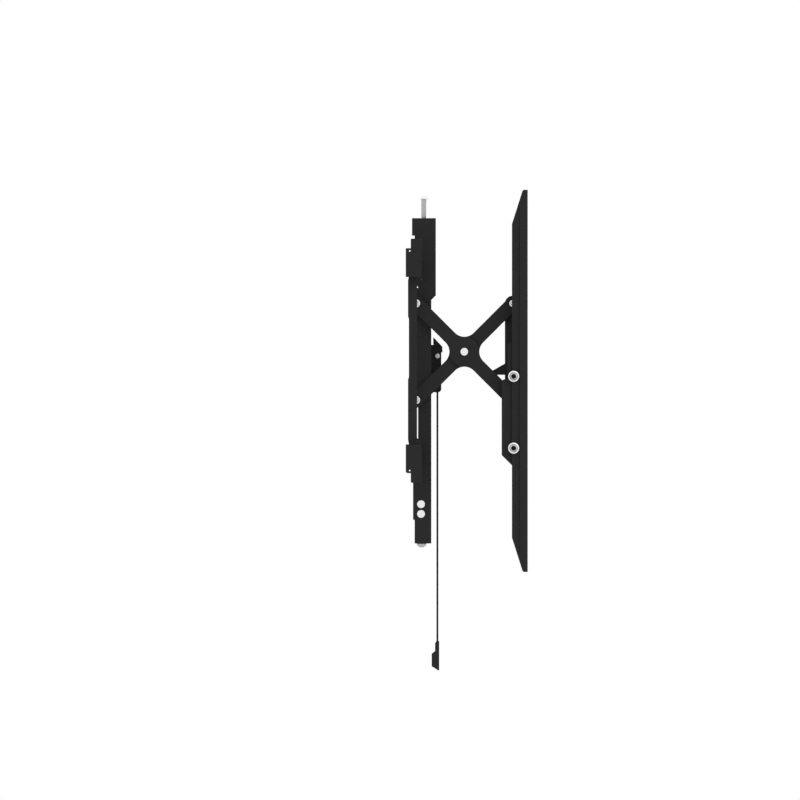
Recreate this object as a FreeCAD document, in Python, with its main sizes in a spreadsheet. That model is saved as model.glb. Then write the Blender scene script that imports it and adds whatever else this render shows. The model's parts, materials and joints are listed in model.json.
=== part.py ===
import FreeCAD, Part
import math
import os
import re
import Sketcher
from FreeCAD import Placement, Rotation, Vector

# Pull-out wall mount for a flat television: two rails on the wall, two columns that hang on them,
# a scissor on each side, a front frame, and two upright rails that bolt to the television.
# Millimetres. The wall is the plane Y = 0 and the mount stands out from it towards -Y. X runs along
# the wall, Z is up, and the origin is on the wall in the middle of the wall frame.
# "depth" is a distance from the wall, so a point's Y is minus its depth.

doc = FreeCAD.newDocument("pull_out_wall_mount")
sheet = doc.addObject("Spreadsheet::Sheet", "Sizes")

SIZES = [
    # wall frame
    ("rail_overhang", 13, "how far a wall rail runs on past the side strut"),
    ("rail_centre_height", 112.8, "height of the upper rail's middle; the lower rail mirrors it"),
    ("rail_height", 32, "height of the rail's web on the wall"),
    ("rail_depth", 16, "wall to the front of the rail's lip"),
    ("rail_lip", 16, "height of the lip that the hooks hold"),
    ("rail_sheet", 2, "sheet thickness of the wall rails"),
    ("wall_slot_radius", 4.5, "half the width of a wall screw slot"),
    ("wall_slot_length", 24, "wall screw slot, end to end"),
    ("wall_slot_inset", 26.8, "outer wall screw slots from the rail's end"),
    ("wall_slot_offset", 6.2, "wall screw slots above the rail's middle"),
    ("cap_thickness", 3, "rail end cap"),
    ("cap_depth", 18.4, "wall to the front of the end cap"),
    ("cap_step_depth", 5.75, "depth of the end cap's foot on the wall"),
    ("cap_rise", 11, "end cap above the rail"),
    ("cap_margin", 1.2, "end cap past the lower edge of its rail"),
    ("cap_eyelet_radius", 0.9, "small eyelet in each end cap"),
    ("strut_room", 18, "from the outer arm's face to the side strut"),
    ("strut_thickness", 3, "side strut"),
    ("strut_back", 2.6, "wall to the strut's rear edge"),
    ("strut_depth", 13, "wall to the strut's front edge"),
    ("strut_tab", 10, "width of the strut's end tabs"),
    ("strut_waist", 1, "how much a side strut narrows at its waist and ends"),
    # columns
    ("arm_room", 15, "from the outer arm's face to the tilt bracket"),
    ("column_width", 40, "outside width of a column"),
    ("column_sheet", 2.5, "sheet thickness of a column"),
    ("column_rise", 34.55, "column above the upper rail"),
    ("column_drop", 82.0, "column below the lower rail"),
    ("column_depth", 29.4, "wall to the column's front"),
    ("head_step", 5.2, "how much deeper the column's head is"),
    ("head_rise", 9.2, "from the upper pivots to where the deeper head starts to step back"),
    ("height_up", 4, "height adjustment upwards"),
    ("height_down", 1.2, "height adjustment downwards"),
    # scissor
    ("pivot_depth", 11.9, "wall to the rear pivots"),
    ("pivot_height", 65.2, "height of the upper pivots"),
    ("half_span", 55.5, "half the distance between pivots, drawn open at 45 degrees"),
    ("fold_angle", 30, "how far an arm turns from open to shut, degrees"),
    ("arm_width", 15.6, "width of an arm"),
    ("arm_end_radius", 8.3, "round ends of an outer arm"),
    ("inner_end_radius", 8.9, "round ends of an inner arm"),
    ("arm_thickness", 4, "sheet thickness of an arm"),
    ("hub_radius", 17.25, "round hub in the middle of an arm"),
    ("neck_fillet", 15.4, "fillet between an arm's strap and its hub"),
    ("washer_thickness", 2, "low-friction washer"),
    ("shank_radius", 2.2, "pivot pins and the shafts' ends"),
    ("slot_reserve", 6, "columns' shaft slots below the shaft's lowest place"),
    ("running_gap", 0.05, "radial clearance of a pin in its hole"),
    ("pin_head_radius", 4.6, "pivot pin heads"),
    ("pin_head_height", 2.4, "pivot pin heads"),
    ("shaft_radius", 4.8, "thick middle and heads of the two cross shafts"),
    ("front_pin_radius", 4, "heads of the front pivot pins"),
    ("side_gap", 0.4, "clearance between pieces that slide past each other"),
    # front frame
    ("post_setback", 8.9, "from the front pivots back to the front posts' rear"),
    ("front_post_depth", 20, "depth of a front post"),
    ("front_post_width", 30, "width of a front post"),
    ("post_rise", 7, "front post above the upper pivots"),
    ("post_drop", 25.6, "front post below its lower pin when shut"),
    ("front_sheet", 2.5, "sheet thickness of the front frame"),
    ("tie_height", 26, "height of the front cross ties"),
    ("upper_tie_rise", 34, "upper front tie above the origin"),
    ("middle_tie_drop", 23, "middle front tie's lower edge below the origin"),
    ("lower_tie_drop", 100, "lower front tie's lower edge below the origin"),
    ("tie_inset", 3.5, "from the front posts' outer sides to the ends of the ties"),
    ("tie_thickness", 3, "front cross ties"),
    ("tilt_clearance", 2, "between the tilt bracket and the television rail"),
    ("bracket_setback", 3.7, "tilt bracket behind the front posts"),
    ("bracket_shoulder", 3.2, "from the upper tilt screw down to the tilt bracket's wide part"),
    ("bracket_foot", 19.8, "tilt bracket below the lower tilt screw"),
    # television rails
    ("tv_standoff", 6.3, "from the front posts to the face that the television sits on"),
    ("tv_rail_depth", 18.2, "depth of the television rail"),
    ("tv_rail_drop", 23.8, "middle of the television rail below the origin"),
    ("tv_overhang", 19.8, "television rail past its end holes"),
    ("tv_rail_width", 38, "width of the television rail's front"),
    ("tv_edge", 20.5, "from the television holes to the rail's outer face"),
    ("tv_sheet", 2.5, "sheet thickness of the television rail"),
    ("tv_joggle", 2.5, "how far the rail's rear strip stands in"),
    ("tv_strip", 8.8, "width of the rail's rear strip"),
    ("tv_taper", 39.4, "height of the tapered ends"),
    ("tv_taper_depth", 12.5, "how much the tapered ends narrow"),
    ("vesa_spacing", 400, "television hole pattern across"),
    ("vesa_hole_radius", 4.25, "television screw holes"),
    ("tilt_setback", 2, "tilt screws in front of the television rail's rear edge"),
    ("tilt_height", 18.6, "upper tilt screw below the origin"),
    ("tilt_spacing", 82.6, "distance between the tilt screws"),
    ("tilt_angle", 2, "tilt each way, degrees"),
    ("tilt_screw_radius", 3.4, "tilt screws"),
    ("tilt_flange_radius", 6.3, "flange of the tilt screws"),
    ("tilt_head_radius", 4.8, "button head of the tilt screws"),
    # screws
    ("adjuster_depth", 20.7, "wall to the height screws"),
    ("adjuster_radius", 2.9, "height screws"),
    ("adjuster_rise", 26, "top of the height screws above the columns"),
    ("adjuster_head_radius", 6.3, "head of a height screw"),
    ("lock_depth", 18.3, "wall to the lock screws"),
    ("lock_radius", 2.5, "lock screws"),
    ("lock_head_radius", 5.75, "dome head of a lock screw"),
    ("lug_rise", 10, "a hook's lug above the rail"),
    ("lug_margin", 6.3, "a hook's lug in front of its screw's middle"),
    # latch
    ("latch_standoff", 7, "from the columns' front to the latch's middle and the cord"),
    ("latch_pin_height", 4.8, "height of the latch pin"),
    ("latch_pin_radius", 1.7, "latch pin"),
    ("latch_wall", 2, "sheet thickness of the latch housing"),
    ("latch_wall_rise", 8.6, "housing's walls above the latch pin"),
    ("latch_lip_width", 2.5, "lips beside the housing, sideways"),
    ("latch_lip_depth", 3, "lips beside the housing, forwards"),
    ("latch_lip_rise", 12.8, "lips above the latch pin"),
    ("latch_half_width", 9, "half the width of the latch housing"),
    ("latch_bottom", 37, "latch housing's lower end below the origin"),
    ("latch_pull", 6, "travel of the latch slider when pulled"),
    ("latch_catch", 4, "travel of the latch slider into the striker"),
    ("striker_thickness", 3, "striker finger"),
    ("striker_bend", 19.9, "from the front frame back to the striker's first bend"),
    ("striker_bend_drop", 3.8, "striker's first bend below the origin"),
    ("striker_knee", 32.9, "from the front frame back to the striker's second bend"),
    ("striker_knee_drop", 11.3, "striker's second bend below the origin"),
    ("cord_radius", 1.1, "pull cord"),
    ("cord_low_end", 323, "pull cord's lower end below the origin"),
    ("tag_length", 34.5, "height of the pull tag"),
    ("tag_heel", 29, "from the tag's top to its rear lower corner"),
    ("tag_shoulder", 14.6, "from the tag's top to its full width"),
    ("tag_neck", 11.4, "length of the tag's neck"),
    ("tag_neck_back", 2.7, "tag's neck behind the middle of the cord"),
    ("tag_back", 6.6, "tag behind the middle of the cord"),
    ("tag_front", 2.1, "tag in front of the middle of the cord"),
]
for row, (alias, number, note) in enumerate(SIZES, start=1):
    sheet.set(f"A{row}", alias)
    sheet.set(f"B{row}", str(number))
    sheet.set(f"C{row}", note)
    sheet.setAlias(f"B{row}", alias)
doc.recompute()
size = {alias: float(sheet.get(alias)) for alias, number, note in SIZES}


class Length:
    """A length that follows from named sizes: its number, and its sum in their names."""

    def __init__(self, number, text):
        self.number = number
        self.text = text

    def __add__(self, other):
        return Length(self.number + other.number, f"({self.text} + {other.text})")

    def __sub__(self, other):
        return Length(self.number - other.number, f"({self.text} - {other.text})")

    def __mul__(self, factor):
        return Length(self.number * factor, f"({self.text} * {factor})")


own = {alias: Length(number, alias) for alias, number in size.items()}
tv_rail_outer = own["vesa_spacing"] * 0.5 + own["tv_edge"]
bracket_place = (tv_rail_outer - own["tv_joggle"] - own["tv_sheet"] - own["tilt_clearance"]
                 - own["front_sheet"])
outer_arm_face = bracket_place - own["arm_room"]
column_place = (outer_arm_face - own["arm_thickness"] * 2 - own["washer_thickness"] * 1.5
                - own["column_width"] * 0.5)
strut_place = outer_arm_face + own["strut_room"]
rail_length = (strut_place + own["strut_thickness"] + own["rail_overhang"]) * 2
rail_edge = own["rail_centre_height"] + own["rail_height"] * 0.5
column_top = rail_edge + own["column_rise"]
front_back_depth = own["pivot_depth"] + own["half_span"] * 2 - own["post_setback"]
front_wall_depth = front_back_depth + own["front_post_depth"]
tv_front_depth = front_wall_depth + own["tv_standoff"]
tv_back_depth = tv_front_depth - own["tv_rail_depth"]
tv_rail_length = own["vesa_spacing"] + own["tv_overhang"] * 2
DERIVED = {
    "tv_rail_outer": tv_rail_outer,
    "bracket_place": bracket_place,
    "column_place": column_place,
    "strut_place": strut_place,
    "rail_length": rail_length,
    "wall_slot_spacing": rail_length - own["wall_slot_inset"] * 2,
    "rail_edge": rail_edge,
    "lug_height": rail_edge + own["lug_rise"],
    "column_top": column_top,
    "column_bottom": rail_edge + own["column_drop"],
    "head_depth": own["column_depth"] + own["head_step"],
    "head_height": own["pivot_height"] + own["head_rise"],
    "adjuster_top": column_top + own["adjuster_rise"],
    "front_back_depth": front_back_depth,
    "front_wall_depth": front_wall_depth,
    "front_post_top": own["pivot_height"] + own["post_rise"],
    "bracket_back_depth": front_back_depth - own["bracket_setback"],
    "bracket_top": own["tilt_height"] + own["bracket_shoulder"],
    "bracket_bottom": own["tilt_height"] + own["tilt_spacing"] + own["bracket_foot"],
    "tv_front_depth": tv_front_depth,
    "tv_back_depth": tv_back_depth,
    "tv_rail_length": tv_rail_length,
    "tv_rail_top": tv_rail_length * 0.5 - own["tv_rail_drop"],
    "tilt_depth": tv_back_depth + own["tilt_setback"],
    "latch_depth": own["column_depth"] + own["latch_standoff"],
}
size.update({name: length.number for name, length in DERIVED.items()})

SIDES = [("left", -1), ("right", 1)]
made = []

REAR = size["pivot_depth"]
FRONT = size["pivot_depth"] + 2 * size["half_span"]
HIGH = size["pivot_height"]
LOW = size["pivot_height"] - 2 * size["half_span"]
SHUT = HIGH - 2 * math.sqrt(2) * size["half_span"] * math.cos(math.radians(45 - size["fold_angle"]))
MIDDLE_DEPTH = (REAR + FRONT) / 2
MIDDLE_HEIGHT = (HIGH + LOW) / 2
SHANK = size["shank_radius"]
RUNNING = size["shank_radius"] + size["running_gap"]
PLAY = 0.6
COLUMN_FACE = "column_place + column_width / 2"
INNER_ARM = f"({COLUMN_FACE} + washer_thickness)"
OUTER_ARM = f"({INNER_ARM} + arm_thickness + washer_thickness / 2)"
OUTER_FACE = f"({OUTER_ARM} + arm_thickness)"


# ---------------------------------------------------------------- helpers

def bind(obj, place, text):
    """Binds a property to an expression written with the sheet's names and the derived ones."""
    def written_out(match):
        word = match.group(0)
        return DERIVED[word].text if word in DERIVED else word

    def full_name(match):
        word = match.group(0)
        return f"Sizes.{word}" if word in own else word
    words = r"[a-z][a-z_]+"
    obj.setExpression(place, re.sub(words, full_name, re.sub(words, written_out, str(text))))


def yz(depth, height, radius=0):
    """A point of a side outline: its Y, its Z and the radius of its corner."""
    return (-depth, height, radius)


def outline_edges(points):
    """Closed outline through points (u, v, corner radius): straight lines with tangent arcs."""
    count = len(points)
    cuts = []
    for index, (u, v, radius) in enumerate(points):
        corner = Vector(u, v, 0)
        before = Vector(*points[index - 1][:2], 0) - corner
        after = Vector(*points[(index + 1) % count][:2], 0) - corner
        before.normalize()
        after.normalize()
        if radius <= 0:
            cuts.append((corner, None, corner))
            continue
        half = before.getAngle(after) / 2
        reach = radius / math.tan(half)
        bisector = (before + after)
        bisector.normalize()
        middle = corner + bisector * (radius / math.sin(half) - radius)
        cuts.append((corner + before * reach, middle, corner + after * reach))
    edges = []
    for index, (start, middle, end) in enumerate(cuts):
        if middle is not None:
            edges.append(Part.Arc(start, middle, end))
        follower = cuts[(index + 1) % count][0]
        if (follower - end).Length > 1e-6:
            edges.append(Part.LineSegment(end, follower))
    return edges


def slot_points(u, v, length, radius, upright=True):
    """A slot with round ends as an outline, centred on (u, v)."""
    half = length / 2
    long_u, long_v = (radius, half) if upright else (half, radius)
    round_end = radius * 0.999
    return [(u - long_u, v - long_v, round_end), (u + long_u, v - long_v, round_end),
            (u + long_u, v + long_v, round_end), (u - long_u, v + long_v, round_end)]


def plane_of(body, role):
    """One of a body's own origin planes."""
    for feature in body.Origin.OriginFeatures:
        if feature.Role == role:
            return feature
    raise ValueError(role)


def sketch_in(body, role, outlines, circles=(), offset=0):
    """A sketch on one of the body's planes, moved along the plane's normal by offset."""
    sketch = body.newObject("Sketcher::SketchObject", "Outline")
    sketch.AttachmentSupport = [(plane_of(body, role), "")]
    sketch.MapMode = "FlatFace"
    sketch.AttachmentOffset = Placement(Vector(0, 0, offset), Rotation())
    for points in outlines:
        sketch.addGeometry(outline_edges(points), False)
    for u, v, radius in circles:
        sketch.addGeometry(Part.Circle(Vector(u, v, 0), Vector(0, 0, 1), radius), False)
    doc.recompute()
    return sketch


def new_body(label):
    """An empty body whose label is the name of its node."""
    body = doc.addObject("PartDesign::Body", label)
    body.Label = label
    made.append(body)
    return body


def pad(body, role, outlines, length, circles=(), offset=0, middle=False):
    """Pads outlines by a length, which is an expression in the sheet's names."""
    sketch = sketch_in(body, role, outlines, circles, offset)
    feature = body.newObject("PartDesign::Pad", "Pad")
    feature.Profile = sketch
    feature.Midplane = middle
    bind(feature, "Length", length)
    doc.recompute()
    return feature


def pocket(body, role, outlines, length, circles=(), offset=0, middle=False):
    """Cuts outlines along the plane's normal, and checks that something was cut away."""
    volume = body.Shape.Volume
    sketch = sketch_in(body, role, outlines, circles, offset)
    feature = body.newObject("PartDesign::Pocket", "Pocket")
    feature.Profile = sketch
    feature.Midplane = middle
    if not middle:
        feature.Reversed = True
    bind(feature, "Length", length)
    doc.recompute()
    if body.Shape.Volume >= volume - 1e-3:
        raise ValueError(f"{body.Label}: a pocket cuts nothing")
    return feature


def place_x(obj, expression):
    """Moves an object along X by an expression in the sheet's names."""
    bind(obj, "Placement.Base.x", expression)


def side_x(side, inner, thickness):
    """X of the low face of a piece that lies between inner and inner + thickness on one side."""
    return inner if side > 0 else f"-({inner}) - ({thickness})"


def side_plate(label, side, outlines, inner, thickness, circles=()):
    """A flat plate in the YZ plane on one side of the mount."""
    body = new_body(label)
    pad(body, "YZ_Plane", outlines, thickness, circles)
    place_x(body, side_x(side, inner, thickness))
    return body


def rod(label, start, end, radius, depth, height):
    """A round bar along X between two expressions."""
    bar = doc.addObject("Part::Cylinder", label)
    bar.Label = label
    bar.Placement = Placement(Vector(0, 0, 0), Rotation(Vector(0, 1, 0), 90))
    bind(bar, "Radius", radius)
    bind(bar, "Height", f"({end}) - ({start})")
    bind(bar, "Placement.Base.x", start)
    bind(bar, "Placement.Base.y", f"-({depth})")
    bind(bar, "Placement.Base.z", height)
    return bar


def side_rod(label, side, inner, outer, radius, depth, height):
    """A round bar along X between two distances from the middle, on one side."""
    if side > 0:
        return rod(label, inner, outer, radius, depth, height)
    return rod(label, f"-({outer})", f"-({inner})", radius, depth, height)


def upright(label, x, depth, low, high, radius):
    """A round bar along Z."""
    bar = doc.addObject("Part::Cylinder", label)
    bar.Label = label
    bind(bar, "Radius", radius)
    bind(bar, "Height", f"({high}) - ({low})")
    bind(bar, "Placement.Base.x", x)
    bind(bar, "Placement.Base.y", f"-({depth})")
    bind(bar, "Placement.Base.z", low)
    return bar


def block(label, x_low, x_high, depth_low, depth_high, z_low, z_high):
    """A rectangular block between expressions."""
    box = doc.addObject("Part::Box", label)
    box.Label = label
    bind(box, "Length", f"({x_high}) - ({x_low})")
    bind(box, "Width", f"({depth_high}) - ({depth_low})")
    bind(box, "Height", f"({z_high}) - ({z_low})")
    bind(box, "Placement.Base.x", x_low)
    bind(box, "Placement.Base.y", f"-({depth_high})")
    bind(box, "Placement.Base.z", z_low)
    return box


def side_block(label, side, inner, outer, depth_low, depth_high, z_low, z_high):
    """A block between two distances from the middle, on one side."""
    low, high = (inner, outer) if side > 0 else (f"-({outer})", f"-({inner})")
    return block(label, low, high, depth_low, depth_high, z_low, z_high)


def fuse(label, pieces):
    """One solid from overlapping or touching pieces."""
    joined = doc.addObject("Part::MultiFuse", label)
    joined.Label = label
    joined.Shapes = pieces
    joined.Refine = True
    made.append(joined)
    return joined


def cut(label, base, tool):
    """Base with the tool's shape taken away."""
    rest = doc.addObject("Part::Cut", label)
    rest.Label = label
    rest.Base = base
    rest.Tool = tool
    made.append(rest)
    return rest


def unlist(obj):
    """Takes an intermediate object off the list of sub-parts."""
    made.remove(obj)
    return obj


def group(label, pieces):
    """Separate like pieces that share one node."""
    together = doc.addObject("Part::Compound", label)
    together.Label = label
    together.Links = pieces
    made.append(together)
    return together


def dome(radius, height):
    """A dome head as a shape, flat face down at the origin and round side up."""
    sphere_radius = (radius * radius + height * height) / (2 * height)
    ball = Part.makeSphere(sphere_radius, Vector(0, 0, height - sphere_radius))
    slab = Part.makeCylinder(radius * 1.01, height)
    return ball.common(slab)


def feature(label, shape, where=None):
    """A shape made with Part's functions as an object of the document."""
    obj = doc.addObject("Part::Feature", label)
    obj.Label = label
    obj.Shape = shape
    if where is not None:
        obj.Placement = where
    return obj


# ---------------------------------------------------------------- wall frame

def rail_profile(up):
    """The wall rail's section: web on the wall, a shelf, and a lip that the hooks hold."""
    sheet_t = size["rail_sheet"]
    middle = size["rail_centre_height"]
    shelf = middle - size["rail_height"] / 2
    top = middle + size["rail_height"] / 2
    lip_top = shelf + size["rail_lip"]
    deep = size["rail_depth"]
    points = [(0, shelf, 1), (deep, shelf, 3), (deep, lip_top, 0.8), (deep - sheet_t, lip_top, 0.8),
              (deep - sheet_t, shelf + sheet_t, 1), (sheet_t, shelf + sheet_t, 1),
              (sheet_t, top, 0.8), (0, top, 0.8)]
    return [yz(depth, up * height, radius) for depth, height, radius in points]


def wall_rail(label, up):
    """One horizontal rail with its rows of wall screw slots."""
    rail = new_body(label)
    pad(rail, "YZ_Plane", [rail_profile(up)], "rail_length", middle=True)
    slot_height = up * (size["rail_centre_height"] + size["wall_slot_offset"])
    places = [side * size["wall_slot_spacing"] / 2 * share for side in (-1, 1) for share in (1, 0.5)]
    slots = [slot_points(x, slot_height, size["wall_slot_length"], size["wall_slot_radius"], False)
             for x in places]
    pocket(rail, "XZ_Plane", slots, "rail_depth", [(0, slot_height, size["wall_slot_radius"])], middle=True)
    return rail


wall_rail("upper_wall_rail", 1)
wall_rail("lower_wall_rail", -1)


def end_cap(label, side, up):
    """A cap over a rail's open end, with a foot on the wall and an eyelet."""
    middle = size["rail_centre_height"]
    low = middle - size["rail_height"] / 2 - (size["cap_margin"] if up > 0 else 0)
    high = middle + size["rail_height"] / 2 + (size["cap_margin"] if up < 0 else 0)
    foot = size["cap_step_depth"]
    deep = size["cap_depth"]
    points = [(0, low, 0.8), (deep, low, 2), (deep, high + size["cap_rise"], 0.8),
              (foot, high + size["cap_rise"], 1.2), (foot, high, 0), (0, high, 2.4)]
    outline = [yz(depth, up * height, radius) for depth, height, radius in points]
    eyelet = (-4.6, up * (high - 3.1), size["cap_eyelet_radius"])
    return side_plate(label, side, [outline], "rail_length / 2", "cap_thickness", [eyelet])


for side_name, side in SIDES:
    for level, up in (("upper", 1), ("lower", -1)):
        end_cap(f"{level}_rail_cap_{side_name}", side, up)


def side_strut(side_name, side):
    """The upright strut that ties the two rails near their ends."""
    end = size["rail_centre_height"] - size["rail_height"] / 2
    back = size["strut_back"]
    front = size["strut_depth"]
    waist = size["strut_waist"]
    waist_top = end / 2 - 1
    waist_low = -end / 5
    gusset = size["cap_depth"]
    gusset_tip = end - 5
    gusset_foot = end - 7
    web_outline = [(back + waist, -end), (gusset, -end), (gusset, -gusset_tip), (front, -gusset_foot),
                   (front, gusset_foot), (gusset, gusset_tip), (gusset, end), (back + waist, end),
                   (back, gusset_tip), (back, waist_top + 3), (back + waist, waist_top),
                   (back + waist, waist_low), (back, waist_low - 3), (back, -gusset_tip)]
    web = new_body(f"strut_web_{side_name}")
    pad(web, "YZ_Plane", [[yz(depth, height) for depth, height in web_outline]], "strut_thickness")
    place_x(web, side_x(side, "strut_place", "strut_thickness"))
    edge = "rail_centre_height - rail_height / 2"
    tabs = [side_block(f"strut_tab_{side_name}_{n}", side, "strut_place - strut_tab",
                       "strut_place + strut_thickness / 2", "strut_back + strut_waist", "strut_depth", low, high)
            for n, (low, high) in enumerate([(f"{edge} - strut_thickness", edge),
                                             (f"-({edge})", f"-({edge}) + strut_thickness")])]
    fuse(f"side_strut_{side_name}", [unlist(web)] + tabs)


for side_name, side in SIDES:
    side_strut(side_name, side)


def strut_rivets():
    """Rivets through the rails' shelves into the struts' tabs, headed inside the rails."""
    heads = []
    shelf = "rail_centre_height - rail_height / 2 + rail_sheet"
    for side_name, side in SIDES:
        x = f"{side} * (strut_place - strut_tab / 2)"
        heads.append(upright(f"rivet_upper_{side_name}", x, "8", shelf, f"{shelf} + 2", "3.5"))
        heads.append(upright(f"rivet_lower_{side_name}", x, "8", f"-({shelf}) - 2", f"-({shelf})", "3.5"))
    group("strut_rivets", heads)


strut_rivets()


# ---------------------------------------------------------------- columns

def column_outline(inset):
    """Side outline of a column, or of its hollow when inset by the sheet thickness."""
    rail_low = size["rail_centre_height"] - size["rail_height"] / 2
    cap_top = size["rail_edge"] + size["cap_rise"]
    top = size["column_top"]
    bottom = -size["column_bottom"]
    deep = size["column_depth"]
    head = size["head_depth"]
    step = size["head_height"]
    chamfer = head - deep
    if inset > 0:
        slope = inset * (math.sqrt(2) - 1)
        return [yz(-5, bottom - 5), yz(deep - inset, bottom - 5),
                yz(deep - inset, step - chamfer + slope), yz(head - inset, step + slope),
                yz(head - inset, top - inset), yz(-5, top - inset)]
    bay = size["cap_depth"] + 0.05
    upper_bay_low = rail_low - size["height_up"] - 1
    lower_bay_high = -rail_low + size["height_down"] + 0.5
    lower_bay_low = -(cap_top - 3)
    return [yz(8.4, lower_bay_low), yz(bay, lower_bay_low), yz(bay, lower_bay_high),
            yz(6, lower_bay_high), yz(6, upper_bay_low), yz(bay, upper_bay_low),
            yz(bay, cap_top, 0.8), yz(10.2, cap_top), yz(10.2, cap_top + 3.4), yz(7.2, cap_top + 3.4),
            yz(7.2, top), yz(head, top), yz(head, step), yz(deep, step - chamfer),
            yz(deep, bottom), yz(10.2, bottom), yz(10.2, bottom + 27.2), yz(8.4, bottom + 27.2)]


def column(side_name, side):
    """A column: a folded channel, open to the wall, with bays for the rails and pivot holes."""
    body = new_body(f"column_{side_name}")
    pad(body, "YZ_Plane", [column_outline(0)], "column_width", middle=True)
    pocket(body, "YZ_Plane", [column_outline(size["column_sheet"])],
           "column_width - 2 * column_sheet", middle=True)
    height = size["pivot_height"]
    slot_high = LOW + RUNNING + PLAY
    slot_low = SHUT - RUNNING - PLAY - size["slot_reserve"]
    pin_slot = slot_points(-size["pivot_depth"], (slot_high + slot_low) / 2, slot_high - slot_low, RUNNING)
    relief_low = size["rail_centre_height"] - size["rail_height"] / 2 - size["height_up"] - 9.7
    relief = [yz(12.6, relief_low), yz(14.5, relief_low), yz(13.5, relief_low + 2.4)]
    pocket(body, "YZ_Plane", [pin_slot, relief], "2 * column_width",
           [(-size["pivot_depth"], height, RUNNING)], middle=True)
    adjuster = (0, -size["adjuster_depth"], size["adjuster_radius"] + 0.4)
    pocket(body, "XY_Plane", [], "3 * column_sheet", [adjuster], offset=size["column_top"] - 5)
    place_x(body, f"{side} * column_place")


for side_name, side in SIDES:
    column(side_name, side)


def column_blocks(side_name, side):
    """The blocks in a column: the nut for the height screw, the lock's nut, and the foot plate."""
    half = "(column_width / 2 - column_sheet)"
    inner = f"column_place - {half}"
    outer = f"column_place + {half}"
    upper = side_block(f"upper_block_{side_name}", side, inner, outer, "12", "head_depth - column_sheet",
                       "column_top - column_sheet - 14", "column_top - column_sheet")
    upper_bore = upright(f"upper_bore_{side_name}", f"{side} * column_place", "adjuster_depth",
                         "column_top - 30", "column_top + 5", "adjuster_radius + running_gap")
    height_nut = unlist(cut(f"height_nut_{side_name}", upper, upper_bore))
    lower = side_block(f"lower_block_{side_name}", side, inner, outer, "lock_depth - 7.5", "lock_depth + 7.5",
                       "28 - column_bottom", "52 - column_bottom")
    lower_bore = upright(f"lower_bore_{side_name}", f"{side} * column_place", "lock_depth",
                         "10 - column_bottom", "60 - column_bottom", "lock_radius + running_gap")
    lock_nut = unlist(cut(f"lock_nut_{side_name}", lower, lower_bore))
    base = side_block(f"base_plate_{side_name}", side, inner, outer, "10.2", "column_depth - column_sheet",
                      "-column_bottom", "3 - column_bottom")
    base_bore = upright(f"base_bore_{side_name}", f"{side} * column_place", "lock_depth",
                        "-column_bottom - 5", "10 - column_bottom", "lock_radius + 0.4")
    foot = unlist(cut(f"column_foot_{side_name}", base, base_bore))
    return height_nut, lock_nut, foot


blocks = [column_blocks(side_name, side) for side_name, side in SIDES]
for label, pair in zip(("height_nuts", "lock_nuts", "column_feet"), zip(*blocks)):
    group(label, list(pair))


def block_rivets():
    """Round-headed rivets on the columns' outer sides that hold the lock nuts."""
    heads = []
    for side_name, side in SIDES:
        face = "column_place + column_width / 2"
        for n, height in enumerate(("34 - column_bottom", "45.2 - column_bottom")):
            heads.append(side_rod(f"block_rivet_{side_name}_{n}", side, face, f"{face} + 1.2",
                                  "pin_head_radius", "lock_depth - 0.7", height))
    group("block_rivets", heads)


block_rivets()


# ---------------------------------------------------------------- hooks, locks and their screws

def hook_points(up, lip_side, base_low, base_high, inner_end, outer_end, lug_high):
    """Side outline of a hook that straddles a rail's lip, mirrored for the lower rail."""
    deep = size["rail_depth"]
    sheet_t = size["rail_sheet"]
    gap = size["side_gap"]
    inner_back = 9.5
    inner_front = deep - sheet_t - gap
    outer_back = deep + gap
    outer_front = outer_back + 3.2
    points = [(inner_back, inner_end), (inner_front, inner_end), (inner_front, base_low),
              (outer_back, base_low), (outer_back, outer_end), (outer_front, outer_end),
              (outer_front, lug_high - 3), (lip_side, lug_high - 3), (lip_side, lug_high),
              (outer_back, lug_high), (outer_back, base_high), (inner_back, base_high)]
    return [yz(depth, up * height) for depth, height in points]


def hooks(side_name, side):
    """The hook that carries a column, and the jaw that locks it under the lower rail."""
    shelf = size["rail_centre_height"] - size["rail_height"] / 2
    lip_end = shelf + size["rail_lip"]
    gap = size["side_gap"]
    sheet_t = size["rail_sheet"]
    hanger = new_body(f"hook_{side_name}")
    lug = size["lug_height"]
    front = size["adjuster_depth"] + size["lug_margin"]
    outline = hook_points(1, front, lip_end + gap, lip_end + gap + 3, shelf + sheet_t + 2, shelf - 4, lug)
    pad(hanger, "YZ_Plane", [outline], "column_width - 2 * column_sheet - 4", middle=True)
    seat = (0, -size["adjuster_depth"], size["adjuster_radius"] + size["running_gap"])
    pocket(hanger, "XY_Plane", [], "8", [seat], offset=lug - 5)
    place_x(hanger, f"{side} * column_place")
    jaw = new_body(f"lock_jaw_{side_name}")
    clear = lip_end + gap + size["height_up"] + 0.4
    front = size["lock_depth"] + size["lug_margin"]
    outline = hook_points(-1, front, clear, clear + 3, shelf + sheet_t + 2 + size["height_up"], shelf - 4, lug)
    pad(jaw, "YZ_Plane", [outline], "column_width - 2 * column_sheet - 4", middle=True)
    seat = (0, -size["lock_depth"], size["lock_radius"] + size["running_gap"])
    pocket(jaw, "XY_Plane", [], "8", [seat], offset=-lug - 2)
    place_x(jaw, f"{side} * column_place")


for side_name, side in SIDES:
    hooks(side_name, side)


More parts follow.
